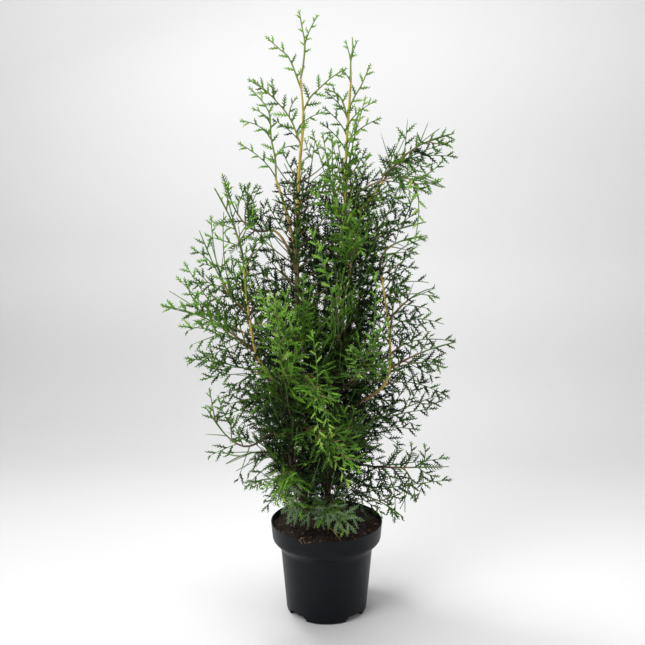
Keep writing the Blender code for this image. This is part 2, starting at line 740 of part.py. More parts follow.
def keep_largest_body(mesh):
    """Drops loose scraps and the inner walls of sealed hollows, and merges level facets."""
    bm = bmesh.new()
    bm.from_mesh(mesh)
    bmesh.ops.dissolve_limit(bm, angle_limit=LEVEL_ANGLE, verts=bm.verts, edges=bm.edges)
    bmesh.ops.triangulate(bm, faces=bm.faces)
    left = set(bm.faces)
    bodies = []
    while left:
        body = {left.pop()}
        edge = list(body)
        while edge:
            face = edge.pop()
            for near in (f for e in face.edges for f in e.link_faces if f in left):
                left.discard(near)
                body.add(near)
                edge.append(near)
        bodies.append(body)
    bodies.sort(key=lambda body: sum(f.calc_area() for f in body))
    for body in bodies[:-1]:
        bmesh.ops.delete(bm, geom=list(body), context="FACES")
    bm.to_mesh(mesh)
    bm.free()


def twig_mesh(mass, axis):
    """The three-sided twig that carries a mass's sprays."""
    radii = taper(TWIG_RINGS, TWIG_ROOT_RADIUS, TWIG_END_RADIUS)
    return limb_mesh(twig_points(mass, axis), radii, TWIG_SIDES)


def sprays_with_room(axes, twigs, limbs):
    """Each mass's sprays that touch no limb, no other mass and none of their neighbours.

    The masses take turns, from their end sprays inwards, so that each gets its share.
    """
    wanted = {mass.name: sprays_of(mass, axes[mass.name]) for mass in MASSES}
    kept = {mass.name: [] for mass in MASSES}
    taken = [("", limb.tree) for limb in limbs.values()]
    taken += [(name, tree_of(twig)) for name, twig in twigs.items()]
    for number in range(max(len(sprays) for sprays in wanted.values())):
        for mass in MASSES:
            if number >= len(wanted[mass.name]):
                continue
            spray = wanted[mass.name][number]
            space = tree_of(spray_mesh(spray, SPRAY_GAP))
            if any(space.overlap(tree) for owner, tree in taken if owner != mass.name):
                continue
            taken.append((f"{mass.name} spray", space))
            kept[mass.name].append(spray)
    return kept


def grow_masses(limbs, foliage):
    """Every mass: its own stem with the sprays that have room, fused into one body."""
    axes = {mass.name: axis_of(mass, limbs) for mass in MASSES}
    twigs = {mass.name: twig_mesh(mass, axes[mass.name]) for mass in MASSES}
    for name, sprays in sprays_with_room(axes, twigs, limbs).items():
        stem = object_from(name, twigs[name], foliage)
        blades = [
            object_from(f"{name}_spray_{k}", spray_mesh(spray), foliage)
            for k, spray in enumerate(sprays)
        ]
        fuse(stem, blades)


def main():
    clear_scene()
    make_pot()
    make_soil()
    bark = material("bark", (0.23, 0.13, 0.07), 0.85)
    foliage = material("foliage", (0.08, 0.19, 0.05), 0.6)
    limbs = {}
    for stem in STEMS:
        grow_stem(stem, limbs, bark)
    for bough in BOUGHS:
        grow_bough(bough, limbs, bark)
    grow_masses(limbs, foliage)


main()
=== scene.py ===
"""The looks of the potted brabant arborvitae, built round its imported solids.

Sizes are in metres in the frame of the solids, and mm() turns the millimetres of the tables
into them. The stems, boughs and masses of the source are grown again here by the same rule,
and each mass goes on to finer twigs. A branch bears combs on both sides, and a comb bears
small shoots covered in scale leaves.
"""

import math
import random
from typing import NamedTuple

import bmesh
import bpy
import numpy as np
from mathutils import Matrix, Vector


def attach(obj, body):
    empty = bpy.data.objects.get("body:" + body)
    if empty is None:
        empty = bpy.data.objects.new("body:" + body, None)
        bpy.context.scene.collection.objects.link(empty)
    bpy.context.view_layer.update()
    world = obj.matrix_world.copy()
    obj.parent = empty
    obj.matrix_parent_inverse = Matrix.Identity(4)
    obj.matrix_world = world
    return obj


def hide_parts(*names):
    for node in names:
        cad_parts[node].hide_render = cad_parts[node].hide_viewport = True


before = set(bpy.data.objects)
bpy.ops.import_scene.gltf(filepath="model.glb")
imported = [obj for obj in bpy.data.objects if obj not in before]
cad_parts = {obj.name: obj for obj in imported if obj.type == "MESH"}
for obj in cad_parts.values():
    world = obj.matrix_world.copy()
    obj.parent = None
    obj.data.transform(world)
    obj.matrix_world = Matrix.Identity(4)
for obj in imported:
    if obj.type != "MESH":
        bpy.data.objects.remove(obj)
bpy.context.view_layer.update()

UP = np.array((0.0, 0.0, 1.0))

# Pot and soil, as in the source
POT_HEIGHT = 0.155
RIM_RADIUS = 0.095
COLLAR_HEIGHT = 0.029
COLLAR_FOOT_RADIUS = 0.0925
SHOULDER_DROP = 0.015
BODY_TOP_RADIUS = 0.0785
BODY_FOOT_RADIUS = 0.0697
POT_WALL = 0.0014
FLOOR_UNDERSIDE = 0.010
FOOT_RING_WIDTH = 0.009
FOOT_NOTCHES = 4
FOOT_NOTCH_WIDTH = 0.038
FOOT_BAND = 0.0115
FIRST_NOTCH_TURN = math.radians(-46)
SOIL_EDGE_HEIGHT = 0.1455
SOIL_CROWN_HEIGHT = 0.149
SOIL_FOOT = 0.132
SOIL_FOOT_RADIUS = 0.0905

# The source's rule for limbs and sprays
BOUGH_END_RADIUS = 0.0018
FLARE = 0.45
FLARE_HEIGHT = 0.016
SPRAY_SEED = 4954
FIRST_SPRAY_AT = 0.10
LAST_SPRAY_AT = 0.86
END_SPRAY_SHARE = 0.80
LEAN_AT_ROOT = math.radians(62)
LEAN_AT_TIP = math.radians(38)
SPRAY_TWIST = math.radians(16)
SPRAY_TILT = math.radians(20)
SPRAY_DROOP = 0.10

# The surface of the soil and the litter on it
SOIL_SEED = 77
LITTER_SEED = 91
SOIL_RADIUS = COLLAR_FOOT_RADIUS + 0.0008
SOIL_RINGS = 56
SOIL_SEGMENTS = 160
SOIL_WAVES = 40
SOIL_ROUGHNESS = 0.0011

# Studio: the paper is a floor that bends up to a wall
FLOOR_FRONT = -4.0
FLOOR_BACK = 1.20
FLOOR_SIDE = 6.0
BEND_RADIUS = 0.60
BEND_STEPS = 12
WALL_TOP = 5.0
AIR_STRENGTH = 0.32
CAMERA_PLACE = (-0.0071, -1.240, 0.658)
CAMERA_DIP = math.radians(7.5)
SENSOR_WIDTH = 36.0
LENS = 42.195

# Branches of the masses, in the dense heart of the crown and at its loose edge
DENSE_SPACING = 0.0120
LOOSE_SPACING = 0.0380
DENSE_TILT = math.radians(62)
LOOSE_TILT = math.radians(36)
DENSE_RISE = 0.12
LOOSE_RISE = 0.34
BRANCH_LEANS = (28, 50)
BACK_REACH = 0.150

# Combs on the branches: their spacing, and their length as a share of the branch's
COMB_SPACING = 0.0112
OPEN_COMB_SPACING = 0.0120
COMB_SHARE = 0.52
LOOSE_COMB_SHARE = 0.40
COMB_SLIM = 0.42
OPEN_REACH = 0.0195
TIP_STEPS = 14
FROND_COMB_SPACING = 0.0094
LONGEST_FROND_COMB = 0.040
FROND_LEANS = (54, 38)

# Small shoots on the combs
SHOOT_SPACING = 0.0023
SHORTEST_SHOOT = 0.0030
LONGEST_SHOOT = 0.0098
SHOOT_WIDTH = 0.0019
SHOOT_THICKNESS = 0.0009
SHOOT_WIDEST_AT = 0.38
SHOOT_SUNK = 0.16
SHOOT_LEANS = (50, 36)
STALK_WIDTH = 0.0026
FROND_TWIG_RADIUS = 0.0010
FROND_TWIG_THICKNESS = 0.0013

# Branches inside the crown, round the stems
INNER_FROM = 0.170
INNER_TO = 0.730
INNER_LENGTHS = (0.070, 0.125)
INNER_COMB_SHARE = 0.36
INNER_SPACING = 0.0042
INNER_FOOT = 0.34
INNER_FOOT_SPACING = 0.0030
INNER_SIDE_SPACING = {"left_side_stem": 0.0085, "right_side_stem": 0.0130}
INNER_TOP = 0.62
INNER_TOP_SHARE = 0.62
GOLDEN_TURN = math.radians(137.5)

# The grey sprays: most of those below this height at the front
GREY_BELOW = 0.235
GREY_SHARE = 0.75

# The most triangles in one piece
PIECE_LIMIT = 190000

# Bark
BARK_STEP = 0.003
BARK_WAVES = 9
FIRST_LIMB_SEED = 11
SIDE_STEM_SHARE = 0.78
SIDE_STEM_AT = 0.2
SIDE_STEM_SUNK = 0.8
BOUGH_SUNK = 0.002

# Heights where the bark turns brown, tan and golden, on the leaders and on the side stems
BARK_CHANGES = (0.54, 0.62, 0.68)
SIDE_STEM_CHANGES = {"left_side_stem": (0.37, 0.40, 0.44), "right_side_stem": (0.36, 0.37, 0.39)}


def mm(value):
    """Millimetres as metres: a number, or a tuple of numbers or of such tuples."""
    if isinstance(value, tuple):
        return tuple(mm(part) for part in value)
    return value / 1000


class Stem(NamedTuple):
    """A leader, or a side stem that leaves its carrier."""

    name: str
    carrier: str
    foot_radius: float
    end_radius: float
    run: tuple


class Bough(NamedTuple):
    """A bough that leaves its stem at a height and arches up by the lift on its way to its end."""

    name: str
    stem: str
    foot_height: float
    end: tuple
    lift: float
    foot_radius: float


class Mass(NamedTuple):
    """A foliage mass, as in MASS_ROWS."""

    name: str
    carrier: str
    foot_height: float
    tip: tuple
    lift: float
    facing: float
    pitch: float
    sprays: int
    reach: float
    slim: float
    tone: float


STEMS = (
    Stem("left_stem", "", 0.0062, 0.0016, mm((
        (-24, -6, 149), (-52, -8, 233), (-60, -8, 300), (-50, -6, 406),
        (-49, -4, 565), (-46, 0, 720), (-38, 0, 820), (-42, 0, 885),
    ))),
    Stem("right_stem", "", 0.0058, 0.0016, mm((
        (0, 12, 149), (4, 12, 240), (14, 10, 340), (25, 10, 480),
        (29, 10, 620), (31, 10, 760), (38, 10, 880),
    ))),
    Stem("left_side_stem", "left_stem", 0.0034, 0.0017, mm((
        (-56, -7, 330), (-78, -18, 386), (-112, -32, 440),
        (-126, -38, 520), (-133, -40, 600),
    ))),
    Stem("right_side_stem", "right_stem", 0.0034, 0.0016, mm((
        (14, 10, 335), (58, -4, 362), (98, -14, 398),
        (103, -20, 470), (86, -22, 585),
    ))),
)

BOUGHS = (
    Bough("upper_left_bough", "left_stem", 0.600, (-0.081, -0.020, 0.726), 0.010, 0.0024),
    Bough("left_arch_bough", "left_stem", 0.575, (-0.095, -0.008, 0.646), 0.022, 0.0026),
    Bough("upper_right_bough", "right_stem", 0.662, (0.092, 0.004, 0.726), -0.008, 0.0026),
    Bough("left_low_bough", "left_stem", 0.300, (-0.112, -0.024, 0.300), 0.010, 0.0026),
    Bough("right_low_bough", "right_stem", 0.215, (0.078, -0.006, 0.250), 0.014, 0.0028),
    Bough("back_left_bough", "left_stem", 0.400, (-0.066, 0.070, 0.470), 0.010, 0.0026),
    Bough("back_right_bough", "right_stem", 0.430, (0.046, 0.075, 0.500), 0.010, 0.0026),
)

# The source's masses, in millimetres: name, carrier, height of the foot, tip, lift, facing and
# pitch in degrees, count and reach of the sprays, slimness. Last is the tone: 0 is deep green
# and 1 is bright yellow-green. The tone is partly the mass's own colour and partly painted light:
# low at the back, low down and inside, where shade falls, and high at the front and top.
# Without a height the mass goes on from its carrier's end.
MASS_ROWS = (
    ("left_leader_tip", "left_stem", None, (-44, 0, 989), 0, 5, 0, 3, 58, 0.22, 0.78),
    ("left_leader_left", "left_stem", 868, (-98, 8, 952), 0, 0, 0, 3, 34, 0.36, 0.62),
    ("left_leader_right", "left_stem", 834, (31, -28, 896), -10, 10, 0, 4, 38, 0.38, 0.62),
    ("left_leader_low", "left_stem", 780, (-120, 0, 884), -6, 0, 0, 5, 52, 0.40, 0.56),
    ("right_leader_tip", "right_stem", None, (40, 10, 952), 0, 0, 0, 3, 36, 0.28, 0.78),
    ("right_leader_right", "right_stem", 840, (69, -4, 907), -14, 10, 0, 5, 52, 0.38, 0.68),
    ("right_leader_left", "right_stem", 822, (-4, -8, 868), -14, -10, 0, 5, 50, 0.42, 0.60),
    ("upper_left_tip", "upper_left_bough", None, (-122, -30, 868), 0, -8, 0, 6, 62, 0.36, 0.60),
    ("left_arch_frond", "left_arch_bough", None, (-168, -10, 739), 0, -6, 0, 6, 60, 0.54, 0.36),
    ("right_cluster_top", "upper_right_bough", None, (209, 20, 803), 10, 12, 10, 6, 66, 0.56, 0.46),
    ("right_cluster_front", "right_stem", 690, (188, -36, 712), 30, -18, 16, 6, 70, 0.58, 0.52),
    ("right_cluster_low", "right_stem", 600, (168, 30, 660), 10, 16, -10, 6, 68, 0.58, 0.42),
    ("front_top", "right_stem", 655, (0, -92, 764), -30, 24, 0, 6, 66, 0.54, 0.46),
    ("back_top", "left_stem", 680, (-20, 92, 800), -26, 160, 0, 5, 68, 0.56, 0.36),
    ("back_upper_right", "right_stem", 590, (66, 126, 704), -18, 130, 0, 5, 72, 0.58, 0.30),
    ("back_upper_left", "left_stem", 545, (-110, 124, 652), -14, 50, 0, 5, 72, 0.58, 0.30),
    ("inner_front_upper", "right_stem", 545, (52, -76, 678), -14, 10, 0, 5, 70, 0.60, 0.50),
    ("left_side_tip", "left_side_stem", None, (-176, -50, 713), -4, -12, 0, 5, 60, 0.40, 0.60),
    ("left_outer_upper", "left_side_stem", 510, (-210, 10, 648), -20, -16, 0, 6, 68, 0.56, 0.42),
    ("left_outer_mid", "left_side_stem", 450, (-269, -20, 524), 16, 0, 10, 7, 74, 0.56, 0.38),
    ("left_outer_low", "left_stem", 385, (-231, 0, 434), 10, 8, -8, 6, 70, 0.56, 0.28),
    ("left_low_frond", "left_low_bough", None, (-200, -30, 362), -6, -12, 12, 6, 66, 0.58, 0.34),
    ("left_low_front", "left_stem", 262, (-166, -50, 268), 18, -30, 20, 6, 60, 0.58, 0.34),
    ("left_foot_frond", "left_stem", 205, (-142, 12, 206), 20, 0, 0, 5, 52, 0.54, 0.34),
    ("right_side_tip", "right_side_stem", None, (163, -12, 638), 6, 8, 0, 6, 60, 0.54, 0.36),
    ("right_outer_upper", "right_side_stem", 500, (182, 20, 550), 12, 10, 0, 6, 66, 0.58, 0.34),
    ("right_outer_mid", "right_side_stem", 420, (215, 0, 462), 6, -8, 0, 6, 68, 0.58, 0.30),
    ("right_outer_low", "right_stem", 290, (203, 20, 372), 4, 8, 6, 6, 68, 0.58, 0.26),
    ("right_low_frond", "right_low_bough", None, (207, -12, 252), 14, 0, 0, 6, 60, 0.52, 0.30),
    ("right_foot_frond", "right_stem", 185, (128, -48, 176), 22, -20, 20, 5, 56, 0.56, 0.24),
    ("front_upright", "left_stem", 330, (-77, -120, 556), -40, -20, 0, 7, 72, 0.52, 0.50),
    ("front_mid", "right_stem", 450, (12, -120, 568), -20, 40, 0, 6, 72, 0.58, 0.44),
    ("front_right", "right_stem", 385, (78, -116, 500), -24, 20, 0, 6, 72, 0.58, 0.40),
    ("inner_front_mid", "left_stem", 420, (-34, -70, 540), -14, 0, 0, 5, 68, 0.60, 0.40),
    ("inner_front_low", "right_stem", 240, (44, -80, 372), -14, 10, 0, 5, 70, 0.60, 0.28),
    ("front_droop_upper", "left_stem", 410, (0, -154, 368), 24, 28, 46, 6, 66, 0.50, 0.42),
    ("front_droop_lower", "left_stem", 320, (46, -160, 290), 20, 30, 40, 6, 66, 0.50, 0.40),
    ("front_low_left", "left_stem", 250, (-78, -116, 222), 20, -20, 44, 5, 62, 0.56, 0.56),
    ("front_foot", "right_stem", 190, (26, -96, 166), 16, 10, 62, 5, 52, 0.56, 0.50),
    ("back_left_frond", "back_left_bough", None, (-130, 160, 540), 0, 130, 0, 5, 72, 0.58, 0.36),
    ("back_right_frond", "back_right_bough", None, (110, 160, 570), 0, 60, 0, 5, 72, 0.58, 0.36),
    ("back_mid", "left_stem", 470, (-10, 168, 560), -12, 100, 0, 6, 74, 0.58, 0.40),
    ("back_low_left", "left_stem", 290, (-116, 130, 360), -4, 140, 0, 5, 72, 0.58, 0.30),
    ("back_low_right", "right_stem", 330, (104, 140, 410), -6, 40, 0, 5, 72, 0.58, 0.28),
    ("back_foot", "right_stem", 210, (20, 150, 270), 10, 100, 10, 5, 66, 0.56, 0.28),
    ("inner_back_mid", "right_stem", 350, (6, 86, 470), -14, 178, 0, 5, 70, 0.60, 0.26),
)


def mass_of(name, carrier, foot, tip, lift, facing, pitch, sprays, reach, slim, tone):
    """The mass of a row of MASS_ROWS, in metres."""
    height = None if foot is None else mm(foot)
    return Mass(name, carrier, height, mm(tip), mm(lift), facing, pitch, sprays, mm(reach), slim, tone)


MASSES = [mass_of(*row) for row in MASS_ROWS]
MASS_NAMES = [mass.name for mass in MASSES]

# Leaf tints from deep to bright, as red, green and blue. They are shaded and lit copies of the leaf green:
# the deep and dark ones are painted shade, and the bright and tip ones are partly painted light and partly
# the yellow-green of young growth.
TINTS = (
    ("deep", (0.007, 0.018, 0.004)),
    ("dark", (0.019, 0.048, 0.008)),
    ("mid", (0.042, 0.104, 0.010)),
    ("green", (0.082, 0.200, 0.015)),
    ("fresh", (0.150, 0.350, 0.030)),
    ("bright", (0.230, 0.470, 0.058)),
    ("tip", (0.330, 0.520, 0.085)),
)

# The grey-green tints of the oldest sprays, low at the front
GREYS = (
    ("grey_dark", (0.022, 0.044, 0.018)),
    ("grey_light", (0.172, 0.258, 0.130)),
)

# The open masses follow these points from their feet to their tips, in millimetres
COURSES = {
    "left_leader_tip": ((-38, 0, 904), (-35, 0, 938), (-39, 0, 962)),
    "left_leader_left": ((-59, 0, 915), (-74, 3, 930)),
    "left_leader_right": ((-27, -4, 855), (-11, -12, 869), (8, -20, 884)),
    "left_leader_low": ((-59, 0, 824), (-87, 0, 857), (-103, 0, 872)),
    "right_leader_tip": ((38, 10, 916), (41, 10, 934)),
    "right_leader_right": ((45, 8, 860), (54, 2, 874)),
    "right_leader_left": ((24, 6, 853), (13, -1, 863)),
    "upper_left_tip": ((-82, -21, 760), (-88, -23, 790), (-92, -26, 833)),
}

# Where the combs of the open masses start, as a share of the length, and their reach in millimetres
OPEN_COMBS = {
    "left_leader_tip": (0.30, 11),
    "left_leader_left": (0.10, 20),
    "left_leader_right": (0.00, 26),
    "left_leader_low": (0.04, 28),
    "right_leader_right": (0.04, 21),
    "right_leader_left": (0.00, 22),
    "upper_left_tip": (0.00, 20),
}

# Masses whose sprays are single combs with long shoots, and the share of a spray's length
FEATHERS = {"right_low_frond": 0.74, "left_arch_frond": 0.90}

# Places that the inside of the crown leaves open to the sky. Each is an ellipse on the plane
# y = 0, as the camera sees it, in millimetres: x, z, half width and half height
SKY_GAPS = mm((
    (125, 832, 54, 23), (79, 806, 13, 43), (112, 688, 10, 10), (132, 645, 15, 8),
    (188, 601, 32, 16), (96, 559, 8, 8), (125, 455, 8, 7), (141, 406, 10, 8),
    (129, 310, 11, 10), (188, 298, 26, 24), (104, 281, 15, 13), (131, 242, 11, 11),
    (60, 247, 6, 8), (56, 406, 7, 10), (30, 499, 6, 7), (5, 595, 6, 8),
    (-50, 595, 8, 10), (-85, 629, 16, 10), (-100, 711, 18, 15), (-182, 762, 40, 22),
    (-190, 715, 20, 24), (-215, 655, 22, 24), (-156, 464, 15, 15), (-191, 240, 28, 22),
))

# Places that the long twigs leave open too
CLEAR_GAPS = mm((
    (168, 808, 18, 12), (114, 782, 20, 10), (-13, 746, 11, 14), (-77, 744, 12, 14),
    (-180, 687, 9, 16), (186, 711, 14, 12), (-176, 716, 10, 12), (-165, 682, 12, 12),
    (160, 650, 16, 13), (-104, 650, 12, 12), (-140, 668, 13, 24), (-76, 628, 13, 26),
    (116, 619, 16, 12), (-179, 614, 12, 18), (153, 549, 18, 17), (-243, 545, 12, 14),
    (-246, 514, 12, 10), (-210, 474, 20, 13), (-142, 483, 12, 10), (190, 479, 13, 22),
    (196, 392, 12, 12), (-145, 411, 16, 13), (-185, 312, 25, 18), (-144, 258, 21, 26),
    (-130, 277, 15, 13), (-108, 244, 14, 20), (145, 242, 20, 11), (130, 176, 16, 10),
))
ALL_GAPS = SKY_GAPS + CLEAR_GAPS

# Places where a stem shows, given in the same way: nothing grows nearer than STEM_FRONT there
STEM_GAPS = mm(((-1, 210, 7, 28), (-54, 252, 5, 14)))
STEM_FRONT = 0.006

# Long twigs, in millimetres: the carrier, the share of its length where the twig leaves it, the
# twig's end, the reach of its combs, its tone, and how far it arches up, if it does. As in the
# masses, the tone is partly painted light: the lowest tones, on twigs deep inside the crown, are
# painted shade.
TIPS = (
    ("left_leader_tip", 0.50, (-14, -4, 981), 10, 0.82),
    ("left_leader_low", 0.17, (-3, -20, 831), 16, 0.60),
    ("left_leader_low", 0.68, (-126, 4, 885), 12, 0.58),
    ("left_leader_low", 0.06, (-89, 20, 825), 14, 0.22),
    ("left_leader_low", 0.63, (-86, -14, 883), 14, 0.60),
    ("left_leader_low", 0.37, (-47, -14, 855), 13, 0.60),
    ("upper_left_tip", 0.40, (-136, -30, 816), 15, 0.58, 8),
    ("upper_left_tip", 0.02, (-139, -36, 782), 17, 0.60),
    ("upper_left_tip", 0.22, (-43, -12, 779), 15, 0.52, 6),
    ("upper_left_tip", 0.55, (-117, -30, 835), 12, 0.62, 4),
    ("right_leader_tip", 0.45, (29, 10, 946), 10, 0.80),
    ("right_leader_tip", 0.45, (48, 6, 945), 10, 0.80),
    ("right_leader_tip", 0.02, (22, 4, 901), 12, 0.72),
    ("right_stem", 0.74, (50, -20, 831), 14, 0.80),
    ("right_stem", 0.73, (69, -10, 769), 12, 0.78),
    ("right_stem", 0.75, (16, -20, 788), 12, 0.72),
    ("right_stem", 0.73, (3, -20, 800), 14, 0.66),
    ("right_stem", 0.78, (61, -20, 855), 13, 0.88),
    ("right_stem", 0.83, (52, -20, 837), 12, 0.84),
    ("inner_front_upper", 0.46, (-26, -85, 707), 21, 0.62),
    ("inner_front_upper", 0.56, (10, -85, 696), 21, 0.70),
    ("front_mid", 0.66, (-27, -100, 651), 17, 0.66),
    ("front_mid", 0.52, (-14, -95, 630), 16, 0.62),
    ("front_droop_upper", 0.62, (-23, -120, 499), 16, 0.60),
    ("front_right", 0.72, (74, -100, 585), 15, 0.62),
    ("front_right", 0.58, (92, -100, 515), 14, 0.58),
    ("left_arch_frond", 0.04, (-134, 6, 676), 24, 0.20, 12),
    ("left_arch_frond", 0.00, (-96, 10, 698), 22, 0.18),
    ("left_side_tip", 0.14, (-175, -50, 713), 7, 0.84, 10),
    ("left_side_tip", 0.30, (-160, -50, 720), 7, 0.84),
    ("left_side_stem", 0.74, (-126, -60, 598), 14, 0.60),
    ("left_side_stem", 0.88, (-139, -46, 655), 10, 0.72),
    ("left_outer_mid", 0.12, (-235, -60, 497), 26, 0.46, 6),
    ("left_low_frond", 0.10, (-174, -60, 386), 22, 0.44, 10),
    ("left_foot_frond", 0.10, (-111, 0, 168), 20, 0.34, -4),
    ("right_cluster_top", 0.02, (126, 10, 794), 24, 0.34),
    ("right_cluster_front", 0.62, (139, -36, 630), 18, 0.84, 12),
    ("right_side_stem", 0.98, (166, 10, 635), 20, 0.66),
    ("right_foot_frond", 0.34, (210, -20, 232), 20, 0.40, 12),
    ("right_low_frond", 0.02, (205, -20, 270), 20, 0.44, 4),
)

# The same for long twigs side by side: two shares, the first and last end, their count, and the rest
FANS = (
    ("right_stem", (0.85, 0.92), (-11, -12, 816), (-3, -6, 865), 3, 18, 0.54),
    ("right_stem", (0.87, 0.91), (86, -10, 823), (79, -10, 850), 2, 16, 0.66),
    ("front_top", (0.20, 0.50), (-23, -50, 800), (8, -55, 793), 3, 18, 0.60),
    ("back_top", (0.10, 0.20), (-71, 30, 756), (-54, 30, 764), 2, 20, 0.34),
    ("left_arch_frond", (0.20, 0.46), (-106, -12, 717), (-122, -12, 722), 2, 16, 0.41),
    ("left_outer_upper", (0.24, 0.46), (-166, -10, 678), (-187, -10, 670), 2, 15, 0.59),
    ("left_outer_upper", (0.34, 0.60), (-190, 0, 632), (-223, 0, 620), 2, 21, 0.51),
    ("left_outer_mid", (0.22, 0.44), (-232, -12, 596), (-268, -30, 527), 4, 24, 0.50, 6),
    ("left_outer_low", (0.26, 0.38), (-209, -20, 402), (-236, -10, 437), 2, 22, 0.42, 4),
    ("left_stem", (0.20, 0.36), (-150, -6, 338), (-154, 6, 452), 6, 30, 0.14),
    ("left_stem", (0.36, 0.50), (-170, 12, 470), (-156, 12, 600), 5, 28, 0.16),
    ("left_stem", (0.26, 0.32), (-185, -30, 338), (-168, -30, 392), 4, 28, 0.30),
    ("left_outer_low", (0.50, 0.62), (-196, -30, 424), (-212, -20, 452), 2, 26, 0.32),
    ("left_low_front", (0.08, 0.26), (-135, -50, 225), (-166, -25, 280), 3, 21, 0.36),
    ("left_stem", (0.52, 0.68), (-44, -26, 632), (-37, -22, 716), 4, 17, 0.36),
    ("front_upright", (0.36, 0.50), (-60, -118, 540), (-96, -118, 550), 3, 18, 0.72),
    ("inner_front_mid", (0.36, 0.56), (-23, -110, 566), (-36, -110, 583), 2, 19, 0.58),
    ("front_droop_upper", (0.10, 0.30), (-8, -140, 322), (6, -146, 346), 2, 17, 0.86, 16),
    ("front_droop_lower", (0.20, 0.44), (34, -146, 262), (52, -140, 282), 2, 17, 0.84, 14),
    ("right_cluster_top", (0.10, 0.24), (183, 12, 810), (214, 16, 764), 3, 22, 0.38),
    ("right_cluster_front", (0.38, 0.50), (164, -30, 703), (186, -20, 713), 2, 24, 0.42),
    ("right_side_stem", (0.80, 0.92), (184, -14, 537), (152, 10, 585), 3, 24, 0.40),
    ("right_side_stem", (0.52, 0.66), (216, 10, 461), (197, 10, 490), 2, 23, 0.36),
    ("right_side_stem", (0.34, 0.42), (207, 0, 367), (195, 0, 420), 2, 24, 0.34),
    ("right_outer_low", (0.20, 0.40), (156, -10, 315), (187, 0, 350), 2, 24, 0.32),
    ("right_low_frond", (0.20, 0.60), (118, -20, 300), (162, -20, 295), 3, 17, 0.48),
    ("right_stem", (0.50, 0.64), (36, -60, 694), (58, -70, 608), 4, 20, 0.74),
    ("front_right", (0.26, 0.46), (36, -112, 476), (46, -112, 426), 3, 19, 0.66),
    ("left_arch_frond", (0.00, 0.30), (-140, 0, 722), (-112, 0, 720), 3, 19, 0.42),
    ("right_cluster_low", (0.20, 0.40), (112, 0, 692), (150, 4, 678), 3, 24, 0.26),
    ("right_outer_low", (0.20, 0.40), (116, -10, 348), (130, -10, 388), 3, 26, 0.12),
    ("left_outer_mid", (0.30, 0.50), (-166, -20, 540), (-180, -20, 560), 2, 22, 0.24),
    ("right_stem", (0.68, 0.76), (84, 4, 706), (140, 6, 680), 4, 26, 0.20),
    ("right_stem", (0.24, 0.30), (116, -6, 345), (122, -4, 396), 4, 28, 0.12),
    ("right_stem", (0.76, 0.82), (50, -16, 786), (58, -12, 760), 3, 16, 0.52),
    ("left_stem", (0.18, 0.24), (-140, -10, 334), (-144, -10, 366), 3, 26, 0.18),
    ("right_stem", (0.28, 0.46), (132, 4, 400), (138, 12, 552), 5, 28, 0.12),
    ("right_stem", (0.10, 0.17), (110, -40, 196), (96, -30, 282), 5, 28, 0.20),
    ("right_low_frond", (0.40, 0.60), (124, -10, 176), (150, -10, 190), 2, 18, 0.34, 4),
    ("right_low_frond", (0.10, 0.36), (113, -30, 160), (149, -20, 192), 3, 17, 0.36, 8),
    ("front_low_left", (0.10, 0.30), (-62, -78, 180), (-40, -80, 186), 3, 24, 0.60, 20),
    ("front_low_left", (0.16, 0.50), (-88, -60, 210), (-48, -80, 196), 3, 24, 0.44, 10),
    ("front_foot", (0.10, 0.62), (-66, -60, 172), (47, -86, 166), 6, 27, 0.44, 10),
    ("front_foot", (0.05, 0.50), (-74, -66, 192), (14, -94, 168), 4, 28, 0.48, 14),
    ("front_foot", (0.20, 0.60), (0, -86, 184), (60, -70, 180), 3, 28, 0.42, 12),
)


def between(low, high, share):
    """The value at a share of the way from low to high."""
    return low + (high - low) * share


class Tip(NamedTuple):
    """A long twig that leaves its carrier at a share of its length."""

    carrier: str
    foot: float
    end: tuple
    reach: float
    tone: float
    lift: float


def twig_of(carrier, foot, end, reach, tone, lift=0):
    """The long twig of a row of TIPS."""
    return Tip(carrier, foot, mm(end), mm(reach), tone, mm(lift))


def twigs_of_fan(carrier, feet, first, last, count, reach, tone, lift=0):
    """The long twigs of a row of FANS, spread evenly from the first foot and end to the last."""
    found = []
    for number in range(count):
        share = number / (count - 1)
        end = Vector(mm(first)).lerp(Vector(mm(last)), share)
        found.append(Tip(carrier, between(*feet, share), end, mm(reach), tone, mm(lift)))
    return found


def long_twigs():
    """All long twigs, in metres."""
    found = [twig_of(*row) for row in TIPS]
    for row in FANS:
        found += twigs_of_fan(*row)
    return found


# Materials


def shader_of(name, colour, roughness):
    """A new material and its shader."""
    made = bpy.data.materials.new(name)
    made.use_nodes = True
    shader = made.node_tree.nodes["Principled BSDF"]
    shader.inputs["Base Color"].default_value = (*colour, 1.0)
    shader.inputs["Roughness"].default_value = roughness
    made.diffuse_color = (*colour, 1.0)
    return made, shader


def noise_node(tree, scale, detail, stretch=(1.0, 1.0, 1.0)):
    """A noise in the part's own coordinates, in metres, stretched along each axis."""
    place = tree.nodes.new("ShaderNodeTexCoord")
    mapping = tree.nodes.new("ShaderNodeMapping")
    mapping.inputs["Scale"].default_value = stretch
    noise = tree.nodes.new("ShaderNodeTexNoise")
    noise.inputs["Scale"].default_value = scale
    noise.inputs["Detail"].default_value = detail
    tree.links.new(place.outputs["Object"], mapping.inputs["Vector"])
    tree.links.new(mapping.outputs["Vector"], noise.inputs["Vector"])
    return noise


def add_bump(made, shader, noise, strength, distance):
    """Lets the noise raise and lower the surface."""
    bump = made.node_tree.nodes.new("ShaderNodeBump")
    bump.inputs["Strength"].default_value = strength
    bump.inputs["Distance"].default_value = distance
    made.node_tree.links.new(noise.outputs["Fac"], bump.inputs["Height"])
    made.node_tree.links.new(bump.outputs["Normal"], shader.inputs["Normal"])


